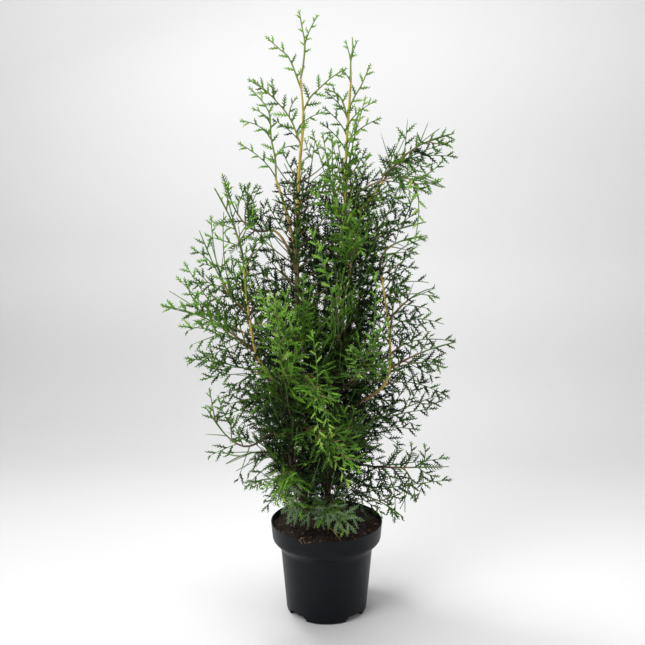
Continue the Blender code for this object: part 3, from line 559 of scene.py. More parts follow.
def add_ramp(made, shader, noise, low, high, start=0.35, end=0.65):
    """Lets the noise mix two colours: low below start, and high above end."""
    ramp = made.node_tree.nodes.new("ShaderNodeValToRGB")
    ramp.color_ramp.elements[0].position = start
    ramp.color_ramp.elements[0].color = (*low, 1.0)
    ramp.color_ramp.elements[1].position = end
    ramp.color_ramp.elements[1].color = (*high, 1.0)
    made.node_tree.links.new(noise.outputs["Fac"], ramp.inputs["Fac"])
    made.node_tree.links.new(ramp.outputs["Color"], shader.inputs["Base Color"])


def leaf_material(name, colour):
    """A plain leaf tint with a fine grain."""
    made, shader = shader_of(name, colour, 0.50)
    shader.inputs["Specular IOR Level"].default_value = 0.14
    add_bump(made, shader, noise_node(made.node_tree, 900.0, 2.0), 0.45, 0.0004)
    return made


def bark_material(name, low, high):
    """Bark streaked along the stems in two colours."""
    made, shader = shader_of(name, low, 0.82)
    noise = noise_node(made.node_tree, 420.0, 5.0, (1.0, 1.0, 0.18))
    add_ramp(made, shader, noise, low, high)
    add_bump(made, shader, noise, 0.6, 0.0006)
    return made


# Objects and meshes from arrays


def linked(name, data):
    """A new object with this data, in the scene."""
    obj = bpy.data.objects.new(name, data)
    bpy.context.scene.collection.objects.link(obj)
    return obj


def rides(piece, slot, *nodes):
    """Puts the piece on the body, and in the place of the nodes; the slot is not used."""
    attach(piece, "root")
    if nodes:
        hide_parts(*nodes)


def deal(piece, finishes, numbers):
    """Gives each face of a piece made with the first finish the finish of its number."""
    for finish in finishes[1:]:
        piece.data.materials.append(finish)
    piece.data.polygons.foreach_set("material_index", np.asarray(numbers, np.int32))


def piece_from(name, points, triangles, finish, smooth=False):
    """An object whose mesh has these points and triangles."""
    mesh = bpy.data.meshes.new(name)
    mesh.vertices.add(len(points))
    mesh.vertices.foreach_set("co", np.asarray(points, np.float32).ravel())
    mesh.loops.add(len(triangles) * 3)
    mesh.loops.foreach_set("vertex_index", np.asarray(triangles, np.int32).ravel())
    mesh.polygons.add(len(triangles))
    mesh.polygons.foreach_set("loop_start", np.arange(0, len(triangles) * 3, 3, dtype=np.int32))
    mesh.polygons.foreach_set("use_smooth", np.full(len(triangles), smooth))
    mesh.update(calc_edges=True)
    mesh.materials.append(finish)
    return linked(name, mesh)


def unit(vectors):
    """The vectors at length one."""
    return vectors / np.maximum(np.linalg.norm(vectors, axis=-1, keepdims=True), 1e-12)


def square_to(vectors, axes):
    """The vectors made square to the axes, and of length one."""
    return unit(vectors - np.sum(vectors * axes, axis=-1, keepdims=True) * axes)


class Shoots:
    """Many shoots as arrays. A shoot runs along its heading, and its tip moves by bend."""

    FIELDS = ("root", "heading", "normal", "bend", "length", "half_width", "tone", "grey")

    def __init__(self, **fields):
        for name in self.FIELDS:
            setattr(self, name, np.asarray(fields[name], float))
        self.heading = unit(self.heading)
        self.normal = square_to(self.normal, self.heading)

    def outside(self, gaps):
        """The shoots whose middles aren't seen through one of the gaps."""
        keep = ~in_gap(self.root + 0.5 * self.length[:, None] * self.heading, gaps)
        return Shoots(**{name: getattr(self, name)[keep] for name in self.FIELDS})

    def place(self, owner, share):
        """The points, headings and normals at a share of the length of the shoots owner."""
        along = (share * self.length[owner])[:, None]
        reach = (share * share * self.length[owner])[:, None]
        point = self.root[owner] + along * self.heading[owner] + reach * self.bend[owner]
        heading = unit(self.heading[owner] + 2 * share[:, None] * self.bend[owner])
        return point, heading, square_to(self.normal[owner], heading)


def places_along(shoots, spacing, first, last):
    """Evenly spaced places on every shoot: (owner, number, share of its length)."""
    counts = np.maximum(2, np.round(shoots.length * (last - first) / spacing).astype(int))
    owner = np.repeat(np.arange(len(counts)), counts)
    number = np.arange(len(owner)) - np.repeat(np.cumsum(counts) - counts, counts)
    share = first + (last - first) * (number + 0.5) / counts[owner]
    return owner, number, share


def sides_of(parents, spacing, first, last, leans, longest, rng):
    """Side shoots that stand alternately on both sides of their parents and lean forward.

    They reach the parent's outline, up to about the longest. leans holds the lean in
    degrees at the parent's foot and at its tip.
    """
    owner, number, share = places_along(parents, spacing, first, last)
    point, heading, normal = parents.place(owner, share)
    side = np.cross(normal, heading) * np.where(number % 2 == 0, 1.0, -1.0)[:, None]
    lean = np.radians(leans[0] + (leans[1] - leans[0]) * share + rng.normal(0, 2.0, len(share)))
    tilt = np.radians(rng.normal(0, 4.0, len(share)))[:, None]
    out = np.cos(lean)[:, None] * heading + np.sin(lean)[:, None] * side
    out = np.cos(tilt) * out + np.sin(tilt) * normal
    # The outline widens over the first quarter, and narrows from there to the tip
    rise = np.minimum(1.0, 0.55 + 0.45 * share / 0.25)
    fall = np.clip((1.04 - share) / 0.62, 0.0, 1.0) ** 0.8
    length = rise * fall * parents.half_width[owner] / np.sin(lean)
    length = np.clip(length, SHORTEST_SHOOT, longest) * rng.uniform(0.86, 1.08, len(share))
    return Shoots(
        root=point,
        heading=out,
        normal=normal,
        bend=0.14 * heading - 0.03 * UP,
        length=length,
        half_width=length * COMB_SLIM / 2,
        tone=parents.tone[owner] + 0.26 * (share - 0.5) + rng.normal(0, 0.06, len(share)),
        grey=parents.grey[owner],
    )


STALK_RINGS = ((0.0, 1.0), (0.6, 0.9))
FROND_RINGS = ((0.0, 1.0), (0.25, 0.85), (0.5, 0.7), (0.8, 0.5))
LEAF_FACES = np.array(((0, 1, 2), (0, 2, 3), (0, 3, 1), (4, 2, 1), (4, 3, 2), (4, 1, 3)))


def leaf_points(shoots):
    """Each small shoot as a flat spindle with a keel: a root, three points round it and a tip."""
    side = np.cross(shoots.normal, shoots.heading)
    length = shoots.length[:, None]
    half = SHOOT_WIDTH / 2
    middle = shoots.root + SHOOT_WIDEST_AT * length * shoots.heading
    rows = (
        shoots.root - SHOOT_SUNK * length * shoots.heading,
        middle + half * side - SHOOT_THICKNESS / 3 * shoots.normal,
        middle + SHOOT_THICKNESS * shoots.normal * 2 / 3,
        middle - half * side - SHOOT_THICKNESS / 3 * shoots.normal,
        shoots.root + length * shoots.heading,
    )
    return np.stack(rows, axis=1)


def strip_points(shoots, shares, half_width, thickness):
    """Flattened three-sided rings along every shoot, and its tip."""
    rows = []
    owner = np.arange(len(shoots.length))
    for share, scale in shares:
        point, heading, normal = shoots.place(owner, np.full(len(owner), share))
        across = half_width * scale * np.cross(normal, heading)
        deep = thickness * scale * normal
        rows += [point + across - deep / 3, point + deep * 2 / 3, point - across - deep / 3]
    tip, _, _ = shoots.place(owner, np.ones(len(owner)))
    return np.stack(rows + [tip], axis=1)


def band(low, high, count):
    """The triangles between two rings of count points that start at low and at high."""
    faces = []
    for a in range(count):
        b = (a + 1) % count
        faces += [(low + a, low + b, high + b), (low + a, high + b, high + a)]
    return faces


def strip_faces(rings):
    """The triangles of a strip: its foot, the bands between its rings and its point."""
    faces = [(2, 1, 0)]
    for ring in range(rings - 1):
        faces += band(3 * ring, 3 * ring + 3, 3)
    low = 3 * (rings - 1)
    faces += [(low + a, low + (a + 1) % 3, low + 3) for a in range(3)]
    return np.array(faces)


def joined(points, faces):
    """One point list and one face list from copies of the same small mesh."""
    copies, per_copy = points.shape[:2]
    offsets = np.arange(copies)[:, None, None] * per_copy
    return points.reshape(-1, 3), (faces[None] + offsets).reshape(-1, 3)


# Routes, as in the source


def smooth_run(points, steps=6):
    """A smooth run through the points."""
    knots = [Vector(p) for p in points]
    knots = [2 * knots[0] - knots[1]] + knots + [2 * knots[-1] - knots[-2]]
    run = []
    for before, start, end, after in zip(knots, knots[1:], knots[2:], knots[3:]):
        for k in range(steps):
            t = k / steps
            run.append(
                start
                + 0.5 * t * (end - before)
                + t * t * (before - 2.5 * start + 2 * end - 0.5 * after)
                + 0.5 * t**3 * (3 * start - before - 3 * end + after)
            )
    return run + [knots[-2]]


def curve(start, middle, end, steps):
    """A run that leaves the start toward the middle point and bends to the end."""
    run = []
    for k in range(steps + 1):
        t = k / steps
        run.append((1 - t) ** 2 * start + 2 * t * (1 - t) * middle + t * t * end)
    return run


def arch(foot, end, lift, heading=None, steps=24):
    """A run that rises by the lift on its way, and leaves its foot along the heading if given."""
    foot = Vector(foot)
    end = Vector(end)
    middle = (foot + end) / 2 + Vector((0, 0, 2 * lift))
    if heading is not None:
        middle = foot + heading * (0.42 * (end - foot).length) + Vector((0, 0, lift))
    return curve(foot, middle, end, steps)


def lengths(run):
    """The distance along the run to each of its points."""
    total = 0.0
    found = [0.0]
    for here, there in zip(run, run[1:]):
        total += (there - here).length
        found.append(total)
    return found


def place_on(run, distance):
    """The point and the heading at a distance along the run."""
    left = distance
    for here, there in zip(run, run[1:]):
        step = (there - here).length
        if left <= step:
            return here.lerp(there, left / step), (there - here).normalized()
        left -= step
    return run[-1].copy(), (run[-1] - run[-2]).normalized()


def point_at_height(run, height):
    """Where the run first rises past the height."""
    for here, there in zip(run, run[1:]):
        if here.z <= height <= there.z:
            return here.lerp(there, (height - here.z) / (there.z - here.z))
    return run[-1].copy()


def part_of(run, start, end, count):
    """Evenly spaced points from one distance along the run to another."""
    return [place_on(run, start + (end - start) * k / (count - 1))[0] for k in range(count)]


# Limbs with bark


def bark_tube(points, radii, sides, relief, rng):
    """A closed tube whose surface has ridges that run along it and swellings here and there."""
    count = len(points)
    centres = np.array([tuple(p) for p in points])
    headings = unit(np.gradient(centres, axis=0))
    side = np.array((1.0, 0.0, 0.0)) if abs(headings[0][0]) < 0.8 else UP
    turns = np.arange(sides) * 2 * math.pi / sides
    along = np.concatenate([[0.0], np.cumsum(np.linalg.norm(np.diff(centres, axis=0), axis=1))])
    waves = [
        (rng.integers(2, 9), rng.uniform(20, 160), rng.uniform(0, 6.28), rng.uniform(0.4, 1.0))
        for _ in range(BARK_WAVES)
    ]
    knots = rng.uniform(0, along[-1], max(2, int(along[-1] / 0.03)))
    rings = []
    for k in range(count):
        side = side - np.dot(side, headings[k]) * headings[k]
        side /= np.linalg.norm(side)
        across = np.cross(headings[k], side)
        swell = 1.0 + 0.10 * np.exp(-(((along[k] - knots) / 0.0025) ** 2)).max()
        ridge = sum(
            weight * np.sin(number * turns + pace * along[k] * 0.4 + phase + 0.6 * np.sin(pace * along[k]))
            for number, pace, phase, weight in waves
        )
        radius = radii[k] * swell * (1.0 + relief * ridge / 3)
        ring = np.cos(turns)[:, None] * side + np.sin(turns)[:, None] * across
        rings.append(centres[k] + radius[:, None] * ring)
    body = np.concatenate([*rings, centres[:1], centres[-1:]])
    faces = []
    for k in range(count - 1):
        faces += band(k * sides, (k + 1) * sides, sides)
    for a in range(sides):
        b = (a + 1) % sides
        faces.append((count * sides, b, a))
        faces.append((count * sides + 1, (count - 1) * sides + a, (count - 1) * sides + b))
    return body, np.array(faces)


class Limb(NamedTuple):
    """A stem or bough as grown."""

    run: list
    foot_radius: float
    end_radius: float
    length: float


def tapered(first, last, count):
    """Evenly stepped radii."""
    return [first + (last - first) * k / (count - 1) for k in range(count)]


def wrap_in_bark(name, points, radii, sides, relief, finishes, seed):
    """The bark of one limb, with a ragged change from one finish to the next as it rises."""
    rng = np.random.default_rng(seed)
    body, faces = bark_tube(points, np.array(radii), sides, relief, rng)
    piece = piece_from(f"{name}_bark", body, faces, finishes[0], smooth=True)
    centres = np.zeros(len(faces) * 3)
    piece.data.polygons.foreach_get("center", centres)
    height = centres.reshape(-1, 3)[:, 2] + rng.normal(0, 0.012, len(faces))
    deal(piece, finishes, np.searchsorted(SIDE_STEM_CHANGES.get(name, BARK_CHANGES), height))
    rides(piece, "bark", name)


def stem_start(stem, limbs):
    """Where along its run a stem's bark starts: a side stem's is sunk in its carrier."""
    if not stem.carrier:
        return 0.0
    carrier = limbs[stem.carrier]
    share = min(1.0, SIDE_STEM_AT / carrier.length)
    return (carrier.foot_radius + (carrier.end_radius - carrier.foot_radius) * share) * SIDE_STEM_SUNK


def flared(radii, points):
    """The radii with a root flare at the soil."""
    found = []
    for radius, point in zip(radii, points):
        rise = point.z - SOIL_CROWN_HEIGHT
        found.append(radius * (1 + FLARE * math.exp(-rise / (FLARE_HEIGHT / 2))))
    return found


def grow_limbs(finishes):
    """The stems and boughs with their bark. Returns the limbs by name."""
    limbs = {}
    for stem in STEMS:
        run = smooth_run(stem.run)
        full = lengths(run)[-1]
        start = stem_start(stem, limbs)
        points = part_of(run, start, full, max(20, int((full - start) / BARK_STEP)))
        radii = tapered(stem.foot_radius, stem.end_radius, len(points))
        if stem.carrier:
            radii = [SIDE_STEM_SHARE * radius for radius in radii]
        else:
            radii = flared(radii, points)
        wrap_in_bark(stem.name, points, radii, 14, 0.10, finishes, FIRST_LIMB_SEED + len(limbs))
        limbs[stem.name] = Limb(run, stem.foot_radius, stem.end_radius, full)
    for bough in BOUGHS:
        run = arch(point_at_height(limbs[bough.stem].run, bough.foot_height), bough.end, bough.lift)
        full = lengths(run)[-1]
        points = part_of(run, BOUGH_SUNK, full, max(16, int(full / BARK_STEP)))
        radii = tapered(bough.foot_radius, BOUGH_END_RADIUS, len(points))
        wrap_in_bark(bough.name, points, radii, 10, 0.08, finishes, FIRST_LIMB_SEED + len(limbs))
        limbs[bough.name] = Limb(run, bough.foot_radius, BOUGH_END_RADIUS, full)
    return limbs


# Masses


def axis_of(mass, limbs):
    """The run of a mass's own stem, from its carrier to its tip."""
    run = limbs[mass.carrier].run
    foot = run[-1] if mass.foot_height is None else point_at_height(run, mass.foot_height)
    if mass.name in COURSES:
        return smooth_run([foot, *mm(COURSES[mass.name]), mass.tip])
    heading = (run[-1] - run[-2]).normalized() if mass.foot_height is None else None
    return arch(foot, mass.tip, mass.lift, heading)


def plane_of(mass, heading):
    """The normal of the plane that a mass spreads in, square to the heading."""
    facing = math.radians(mass.facing)
    pitch = math.radians(mass.pitch)
    flat = math.cos(pitch)
    normal = Vector((math.sin(facing) * flat, -math.cos(facing) * flat, math.sin(pitch)))
    return (normal - normal.dot(heading) * heading).normalized()


def spray_length(mass, share):
    """The length of a spray at a share of the mass's length: longest before the middle."""
    return mass.reach * (0.62 + 0.38 * math.sin(math.pi * min(1.0, share + 0.18)))


class Spray(NamedTuple):
    """A flat spray. Its half width sets how long its side shoots are."""

    root: Vector
    heading: Vector
    normal: Vector
    length: float
    half_width: float
    droop: float
    share: float


def end_spray(mass, axis):
    """The spray that a mass ends in."""
    full = lengths(axis)[-1]
    root, _ = place_on(axis, full - END_SPRAY_SHARE * mass.reach)
    heading = axis[-1] - root
    length = heading.length
    heading.normalize()
    return Spray(root, heading, plane_of(mass, heading), length, length * mass.slim / 2, 0.0, 1.0)


def side_spray(mass, axis, share, way, draw):
    """A spray at a share of a mass's length, on one side or the other by way."""
    twist = draw.uniform(-1, 1) * SPRAY_TWIST
    tilt = draw.uniform(-1, 1) * SPRAY_TILT
    length = spray_length(mass, share) * draw.uniform(0.88, 1.08)
    root, heading = place_on(axis, share * (lengths(axis)[-1] - END_SPRAY_SHARE * mass.reach))
    normal = plane_of(mass, heading)
    side = normal.cross(heading) * way
    lean = between(LEAN_AT_ROOT, LEAN_AT_TIP, share)
    out = math.cos(lean) * heading + math.sin(lean) * side
    out = (math.cos(tilt) * out + math.sin(tilt) * normal).normalized()
    normal = (normal - normal.dot(out) * out).normalized()
    normal.rotate(Matrix.Rotation(twist, 3, out))
    droop = SPRAY_DROOP * (1 - abs(out.z))
    return Spray(root, out, normal, length, length * mass.slim / 2, droop, share)


def sprays_of(mass, axis):
    """The source's sprays of a mass."""
    draw = random.Random(f"{SPRAY_SEED} {mass.name}")
    found = [end_spray(mass, axis)]
    for number in range(mass.sprays):
        share = FIRST_SPRAY_AT + (LAST_SPRAY_AT - FIRST_SPRAY_AT) * number / (mass.sprays - 1)
        found.append(side_spray(mass, axis, share, 1 if number % 2 else -1, draw))
    return found


class Branch(NamedTuple):
    """A finer twig of a mass, with combs of small shoots on both sides."""

    axis: list
    facing: Vector
    reach: float
    tone: float
    spacing: float


class Comb(NamedTuple):
    """A spray with its tone, and 1 where it is one of the grey ones."""

    spray: Spray
    tone: float
    grey: float


def looseness(mass):
    """0 for the dense heart of the crown and 1 for its outer and upper edges."""
    out = (abs(mass.tip[0] + 0.01) - 0.07) / 0.12
    up = (mass.tip[2] - 0.52) / 0.22
    return min(1.0, max(0.0, out, up))


def branches_of(mass, axis, draw):
    """The branches that leave a mass's own stem on all sides of its plane."""
    found = []
    stem = lengths(axis)[-1] - 0.5 * END_SPRAY_SHARE * mass.reach
    count = round(stem / between(DENSE_SPACING, LOOSE_SPACING, looseness(mass)))
    most_tilt = between(DENSE_TILT, LOOSE_TILT, looseness(mass))
    for number in range(count):
        share = 0.02 + 0.98 * (number + draw.uniform(0.1, 0.9)) / count
        root, heading = place_on(axis, share * stem)
        normal = plane_of(mass, heading)
        side = normal.cross(heading) * (1 if number % 2 else -1)
        tilt = draw.uniform(-1, 1) * most_tilt
        lean = math.radians(draw.uniform(*BRANCH_LEANS))
        away = math.cos(tilt) * side + math.sin(tilt) * normal
        out = math.cos(lean) * heading + math.sin(lean) * away
        length = spray_length(mass, share) * draw.uniform(0.85, 1.20)
        rise = between(DENSE_RISE, LOOSE_RISE, looseness(mass))
        end = root + length * (0.88 * out + 0.10 * heading + rise * Vector(UP))
        facing = math.cos(tilt) * normal - math.sin(tilt) * side
        tone = mass.tone + 0.14 * (share - 0.7) + draw.gauss(0, 0.07)
        run = curve_to(root, out, end)
        if end.y < BACK_REACH and not in_gap(end) and not in_gap(run[len(run) // 2]):
            reach = length * between(COMB_SHARE, LOOSE_COMB_SHARE, looseness(mass))
            found.append(Branch(run, facing, reach, tone, COMB_SPACING))
    return found


def curve_to(root, heading, end):
    """A branch's run, which leaves its root along the heading."""
    return curve(root, root + 0.55 * (end - root).length * heading, end, 8)


def inner_branches(limbs, draw):
    """Branches all round the stems, which fill the inside of the crown, in low tones as painted shade."""
    found = []
    turn = 0.0
    for stem in STEMS:
        run = limbs[stem.name].run
        height = max(INNER_FROM, run[0].z + 0.02)
        while height < min(INNER_TO, run[-1].z):
            root = point_at_height(run, height)
            turn += GOLDEN_TURN + draw.uniform(-0.5, 0.5)
            flat = Vector((math.cos(turn), math.sin(turn), 0))
            out = (flat + Vector((0, 0, draw.uniform(0.3, 1.0)))).normalized()
            length = draw.uniform(*INNER_LENGTHS)
            if height > INNER_TOP or stem.carrier:
                length *= INNER_TOP_SHARE
            end = root + length * (0.85 * out + Vector((0, 0, 0.25)))
            facing = Vector((draw.uniform(-0.8, 0.8), -1.0, draw.uniform(-0.4, 0.8)))
            # Painted shade: the inner branches get low tones, so that their combs take mostly the deep and
            # dark tints of the shaded inside of the crown.
            tone = draw.uniform(0.00, 0.24)
            if not in_gap(end):
                reach = INNER_COMB_SHARE * length
                found.append(Branch(curve_to(root, out, end), facing, reach, tone, COMB_SPACING))
            height += inner_step(stem, height)
    return found


def inner_step(stem, height):
    """The rise to the next inner branch: small at the foot, and large on the side stems."""
    if stem.carrier:
        return INNER_SIDE_SPACING[stem.name]
    return INNER_FOOT_SPACING if height < INNER_FOOT else INNER_SPACING


def combs_of(branch, draw):
    """The combs of a branch, alternately on its sides, and one at its end."""
    full = lengths(branch.axis)[-1]
    stem = full - 0.6 * branch.reach
    count = max(2, round(stem / branch.spacing))
    found = []
    for number in range(count):
        share = 0.06 + 0.94 * (number + 0.5) / count
        root, heading = place_on(branch.axis, share * stem)
        normal = (branch.facing - branch.facing.dot(heading) * heading).normalized()
        side = normal.cross(heading) * (1 if number % 2 else -1)
        lean = math.radians(56 - 16 * share)
        tilt = draw.gauss(0, 0.12)
        out = math.cos(lean) * heading + math.sin(lean) * side
        out = (math.cos(tilt) * out + math.sin(tilt) * normal).normalized()
        length = branch.reach * (1.12 - 0.45 * share) * draw.uniform(0.84, 1.10)
        spray = Spray(root, out, normal, length, length * COMB_SLIM / 2, 0.06, share)
        # Each comb's tone takes painted light from its place: brighter at the front, left and edge, darker
        # at the back and inside.
        found.append(Comb(spray, branch.tone + painted_light_tone(root) + draw.gauss(0, 0.10), greyness(root, draw)))
    root, _ = place_on(branch.axis, stem)
    heading = branch.axis[-1] - root
    end = Spray(root, heading.normalized(), branch.facing, heading.length, 0.0045, 0.0, 1.0)
    return found + [Comb(end, branch.tone + painted_light_tone(root) + 0.06, greyness(root, draw))]


def greyness(point, draw):
    """1 for most sprays that are low and at the front, and else 0."""
    low = point.z + draw.uniform(-0.03, 0.03) < GREY_BELOW and point.x < 0.06 and point.y < 0.0
    return 1.0 if low and draw.random() < GREY_SHARE else 0.0


def painted_light_tone(point):
    """Painted light: the tone is raised at the front, at the left and at the crown's outer edge, where the
    key light falls, and lowered at the back and inside, where shade falls.
    """
    out = math.hypot(point.x + 0.01, point.y) - 0.09
    return max(-0.20, min(0.07, 0.2 * out - 0.9 * point.y - 0.25 * point.x - 0.03))


def in_ellipses(places, ellipses):
    """Whether each place, by its x and z, is in one of the ellipses."""
    found = np.zeros(places.shape[:-1], bool)
    for x, z, wide, high in ellipses:
        found |= ((places[..., 0] - x) / wide) ** 2 + ((places[..., 2] - z) / high) ** 2 < 1
    return found


def in_gap(points, gaps=ALL_GAPS):
    """Whether each point, in the last axis of an array, is seen through a gap or before a stem."""
    points = np.asarray(points)
    camera = np.array(CAMERA_PLACE)
    seen = camera + (points - camera) * (camera[1] / (camera[1] - points[..., 1:2]))
    return in_ellipses(seen, gaps) | in_ellipses(seen, STEM_GAPS) & (points[..., 1] < STEM_FRONT)


def shoots_from(combs):
    """The combs as arrays."""
    sprays = [comb.spray for comb in combs]
    return Shoots(
        root=[tuple(s.root) for s in sprays],
        heading=[tuple(s.heading) for s in sprays],
        normal=[tuple(s.normal) for s in sprays],
        bend=[(0.0, 0.0, -s.droop) for s in sprays],
        length=[s.length for s in sprays],
        half_width=[s.half_width for s in sprays],
        tone=[comb.tone for comb in combs],
        grey=[comb.grey for comb in combs],
    )


def tip_branches(runs, draw):
    """Each long twig follows its carrier at first and then turns to its end."""
    found = []
    for tip in long_twigs():
        carrier = runs[tip.carrier]
        foot, heading = place_on(carrier, tip.foot * lengths(carrier)[-1])
        toward = (Vector(tip.end) - foot).normalized()
        axis = arch(foot, tip.end, tip.lift, (heading + toward).normalized(), TIP_STEPS)
        facing = Vector((draw.uniform(-0.35, 0.35), -1.0, draw.uniform(-0.1, 0.4)))
        spacing = OPEN_COMB_SPACING if tip.reach < OPEN_REACH else COMB_SPACING
        found.append(Branch(axis, facing, tip.reach, tip.tone, spacing))
    return found


class TwigKind(NamedTuple):
    """How a kind of twig is made: its radii, the shares of its length where the finish changes, the
    finishes by number, and how many rings and sides it has."""

    foot_radius: float
    end_radius: float
    changes: tuple
    palette: tuple
    rings: int
    sides: int


class Twig(NamedTuple):
    """A twig to be made as a tube along its run."""

    run: list
    kind: TwigKind


# The numbers of the finishes: brown, tan and green twigs, and gold and lime ones in the open tops
BROWN_TO_GREEN = (0, 1, 2)
GOLD_TO_LIME = (3, 4, 4)

OPEN_STEM = TwigKind(0.0016, 0.0008, (0.10, 0.40), GOLD_TO_LIME, 14, 6)
MASS_STEM = TwigKind(0.0019, 0.0007, (0.28, 0.48), BROWN_TO_GREEN, 14, 6)
BRANCH = TwigKind(0.0011, 0.0006, (0.0, 0.22), BROWN_TO_GREEN, 6, 4)
INNER_BRANCH = TwigKind(0.0013, 0.0006, (0.30, 0.45), BROWN_TO_GREEN, 6, 4)
LONG_TWIG = TwigKind(0.0010, 0.0006, (0.0, 0.10), BROWN_TO_GREEN, 6, 4)


def open_branch(mass, axis):
    """An open mass's own stem as one branch."""
    first, reach = OPEN_COMBS[mass.name]
    full = lengths(axis)[-1]
    run = part_of(axis, first * full, full, 2 * TIP_STEPS)
    return Branch(run, plane_of(mass, Vector(UP)), mm(reach), mass.tone, OPEN_COMB_SPACING)


def fronds_of(mass, axis, draw):
    """The source's sprays of a mass with their tones, shorter in the feathered masses."""
    found = []
    for spray in sprays_of(mass, axis):
        # Each spray's tone takes painted light from its place: brighter at the front, left and edge,
        # darker at the back and inside.
        tone = mass.tone + painted_light_tone(spray.root) + 0.16 * (spray.share - 0.6) + draw.gauss(0, 0.06)
        spray = spray._replace(length=FEATHERS.get(mass.name, 1.0) * spray.length)
        found.append(Comb(spray, tone, greyness(spray.root, draw)))
    return found


def grow_crown(limbs):
    """The source's fronds, the combs inside and at the edge, and the twigs that bear them."""
    fronds, combs, edge, twigs = [], [], [], []
    runs = {name: limb.run for name, limb in limbs.items()}

    def bear(branches, kind, bearing, draw):
        for branch in branches:
            twigs.append(Twig(branch.axis, kind))
            bearing.extend(combs_of(branch, draw))

    for mass in MASSES:
        axis = axis_of(mass, limbs)
        runs[mass.name] = axis
        draw = random.Random(f"{SPRAY_SEED} {mass.name} tone")
        twigs.append(Twig(axis, OPEN_STEM if mass.name in COURSES else MASS_STEM))
        if mass.name in OPEN_COMBS:
            edge += combs_of(open_branch(mass, axis), draw)
        if mass.name not in COURSES:
            own = edge if mass.name in FEATHERS else fronds
            own.extend(fronds_of(mass, axis, draw))
            bear(branches_of(mass, axis, draw), BRANCH, combs, draw)
    draw = random.Random(f"{SPRAY_SEED} inner")
    bear(inner_branches(limbs, draw), INNER_BRANCH, combs, draw)
    draw = random.Random(f"{SPRAY_SEED} tips")
    bear(tip_branches(runs, draw), LONG_TWIG, edge, draw)
    combs = shoots_from(combs).outside(ALL_GAPS)
    return shoots_from(fronds), combs, shoots_from(edge).outside(CLEAR_GAPS), twigs


def make_twigs(twigs, finishes, rng):
    """The twigs as tubes: brown near the limbs, then tan, then green."""
    bodies, triangles, numbers, offset = [], [], [], 0
    for run, kind in twigs:
        points = part_of(run, 0.0, lengths(run)[-1] * 0.985, kind.rings)
        radii = np.linspace(kind.foot_radius, kind.end_radius, kind.rings)
        body, faces = bark_tube(points, radii, kind.sides, 0.05, rng)
        share = np.minimum(1.0, np.arange(len(faces)) / (2 * kind.sides * (kind.rings - 1)))
        share = share + rng.normal(0, 0.04, len(faces))
        bodies.append(body)
        triangles.append(faces + offset)
        numbers.append(np.array(kind.palette)[np.searchsorted(kind.changes, share)])
        offset += len(body)
    body, faces = np.concatenate(bodies), np.concatenate(triangles)
    piece = piece_from("mass_twigs", body, faces, finishes[0], smooth=True)
    deal(piece, finishes, np.concatenate(numbers))
    rides(piece, "foliage", *MASS_NAMES)


def make_foliage(limbs, finishes, twig_finishes):
    """Leaves and stalks, dealt to pieces by tint, and the twigs."""
    rng = np.random.default_rng(SPRAY_SEED)
    fronds, combs, edge, twigs = grow_crown(limbs)
    frond_combs = sides_of(fronds, FROND_COMB_SPACING, 0.06, 0.97, FROND_LEANS, LONGEST_FROND_COMB, rng)
    stalks = (frond_combs.outside(ALL_GAPS), combs, edge)
    leaves = []
    for parents in stalks:
        leaves.append(sides_of(parents, SHOOT_SPACING, 0.05, 0.98, SHOOT_LEANS, LONGEST_SHOOT, rng))
    make_sprays("leaf", leaves, leaf_points, LEAF_FACES, finishes)
    make_sprays("stalk", stalks, stalk_points, strip_faces(len(STALK_RINGS)), finishes)
    strips = strip_points(fronds, FROND_RINGS, FROND_TWIG_RADIUS, FROND_TWIG_THICKNESS)
    body, faces = joined(strips, strip_faces(len(FROND_RINGS)))
    rides(piece_from("frond_twigs", body, faces, twig_finishes[2]), "foliage", *MASS_NAMES)
    make_twigs(twigs, twig_finishes, rng)


def stalk_points(shoots):
    """The stalks of the combs as strips."""
    return strip_points(shoots, STALK_RINGS, STALK_WIDTH / 2, SHOOT_THICKNESS)


def tints_of(shoots):
    """The number of each shoot's tint, by its tone."""
    green = np.clip((shoots.tone * len(TINTS)).astype(int), 0, len(TINTS) - 1)
    grey = len(TINTS) + np.clip((shoots.tone * 2 * len(GREYS)).astype(int), 0, len(GREYS) - 1)
    return np.where(shoots.grey > 0.5, grey, green)


def make_sprays(kind, groups, points_of, faces, finishes):
    """One kind of small mesh in pieces by tint, and more where the limit of triangles needs it."""
    points = np.concatenate([points_of(shoots) for shoots in groups])
    tints = np.concatenate([tints_of(shoots) for shoots in groups])
    step = PIECE_LIMIT // len(faces)
    for number, (name, finish) in enumerate(finishes):
        own = points[tints == number]
        for part, start in enumerate(range(0, len(own), step)):
            body, triangles = joined(own[start : start + step], faces)
            piece = piece_from(f"{kind}_{name}_{part}", body, triangles, finish)
            rides(piece, "foliage", *MASS_NAMES)


# Pot and soil


def turned(profile, segments):
    """The solid that the profile of radii and heights makes, turned about the upright axis."""
    bm = bmesh.new()
    rings = []
    for radius, height in profile:
        if radius == 0:
            rings.append([bm.verts.new((0, 0, height))])
            continue
        turns = [2 * math.pi * k / segments for k in range(segments)]
        rings.append([bm.verts.new((radius * math.cos(t), radius * math.sin(t), height)) for t in turns])
    for low, high in zip(rings, rings[1:]):
        for k in range(segments):
            corners = [low[k % len(low)], low[(k + 1) % len(low)]]
            corners += [high[(k + 1) % len(high)], high[k % len(high)]]
            bm.faces.new(list(dict.fromkeys(corners)))
    bmesh.ops.recalc_face_normals(bm, faces=bm.faces)
    return bm


def rounded(profile, radius, steps=4):
    """The profile with its inner corners rounded off."""
    made = [profile[0]]
    for before, here, after in zip(profile, profile[1:], profile[2:]):
        a, b, c = Vector(before), Vector(here), Vector(after)
        cut = min(radius, (a - b).length * 0.45, (c - b).length * 0.45)
        start = b + (a - b).normalized() * cut
        end = b + (c - b).normalized() * cut
        made += [tuple(point) for point in curve(start, b, end, steps)]
    return made + [profile[-1]]


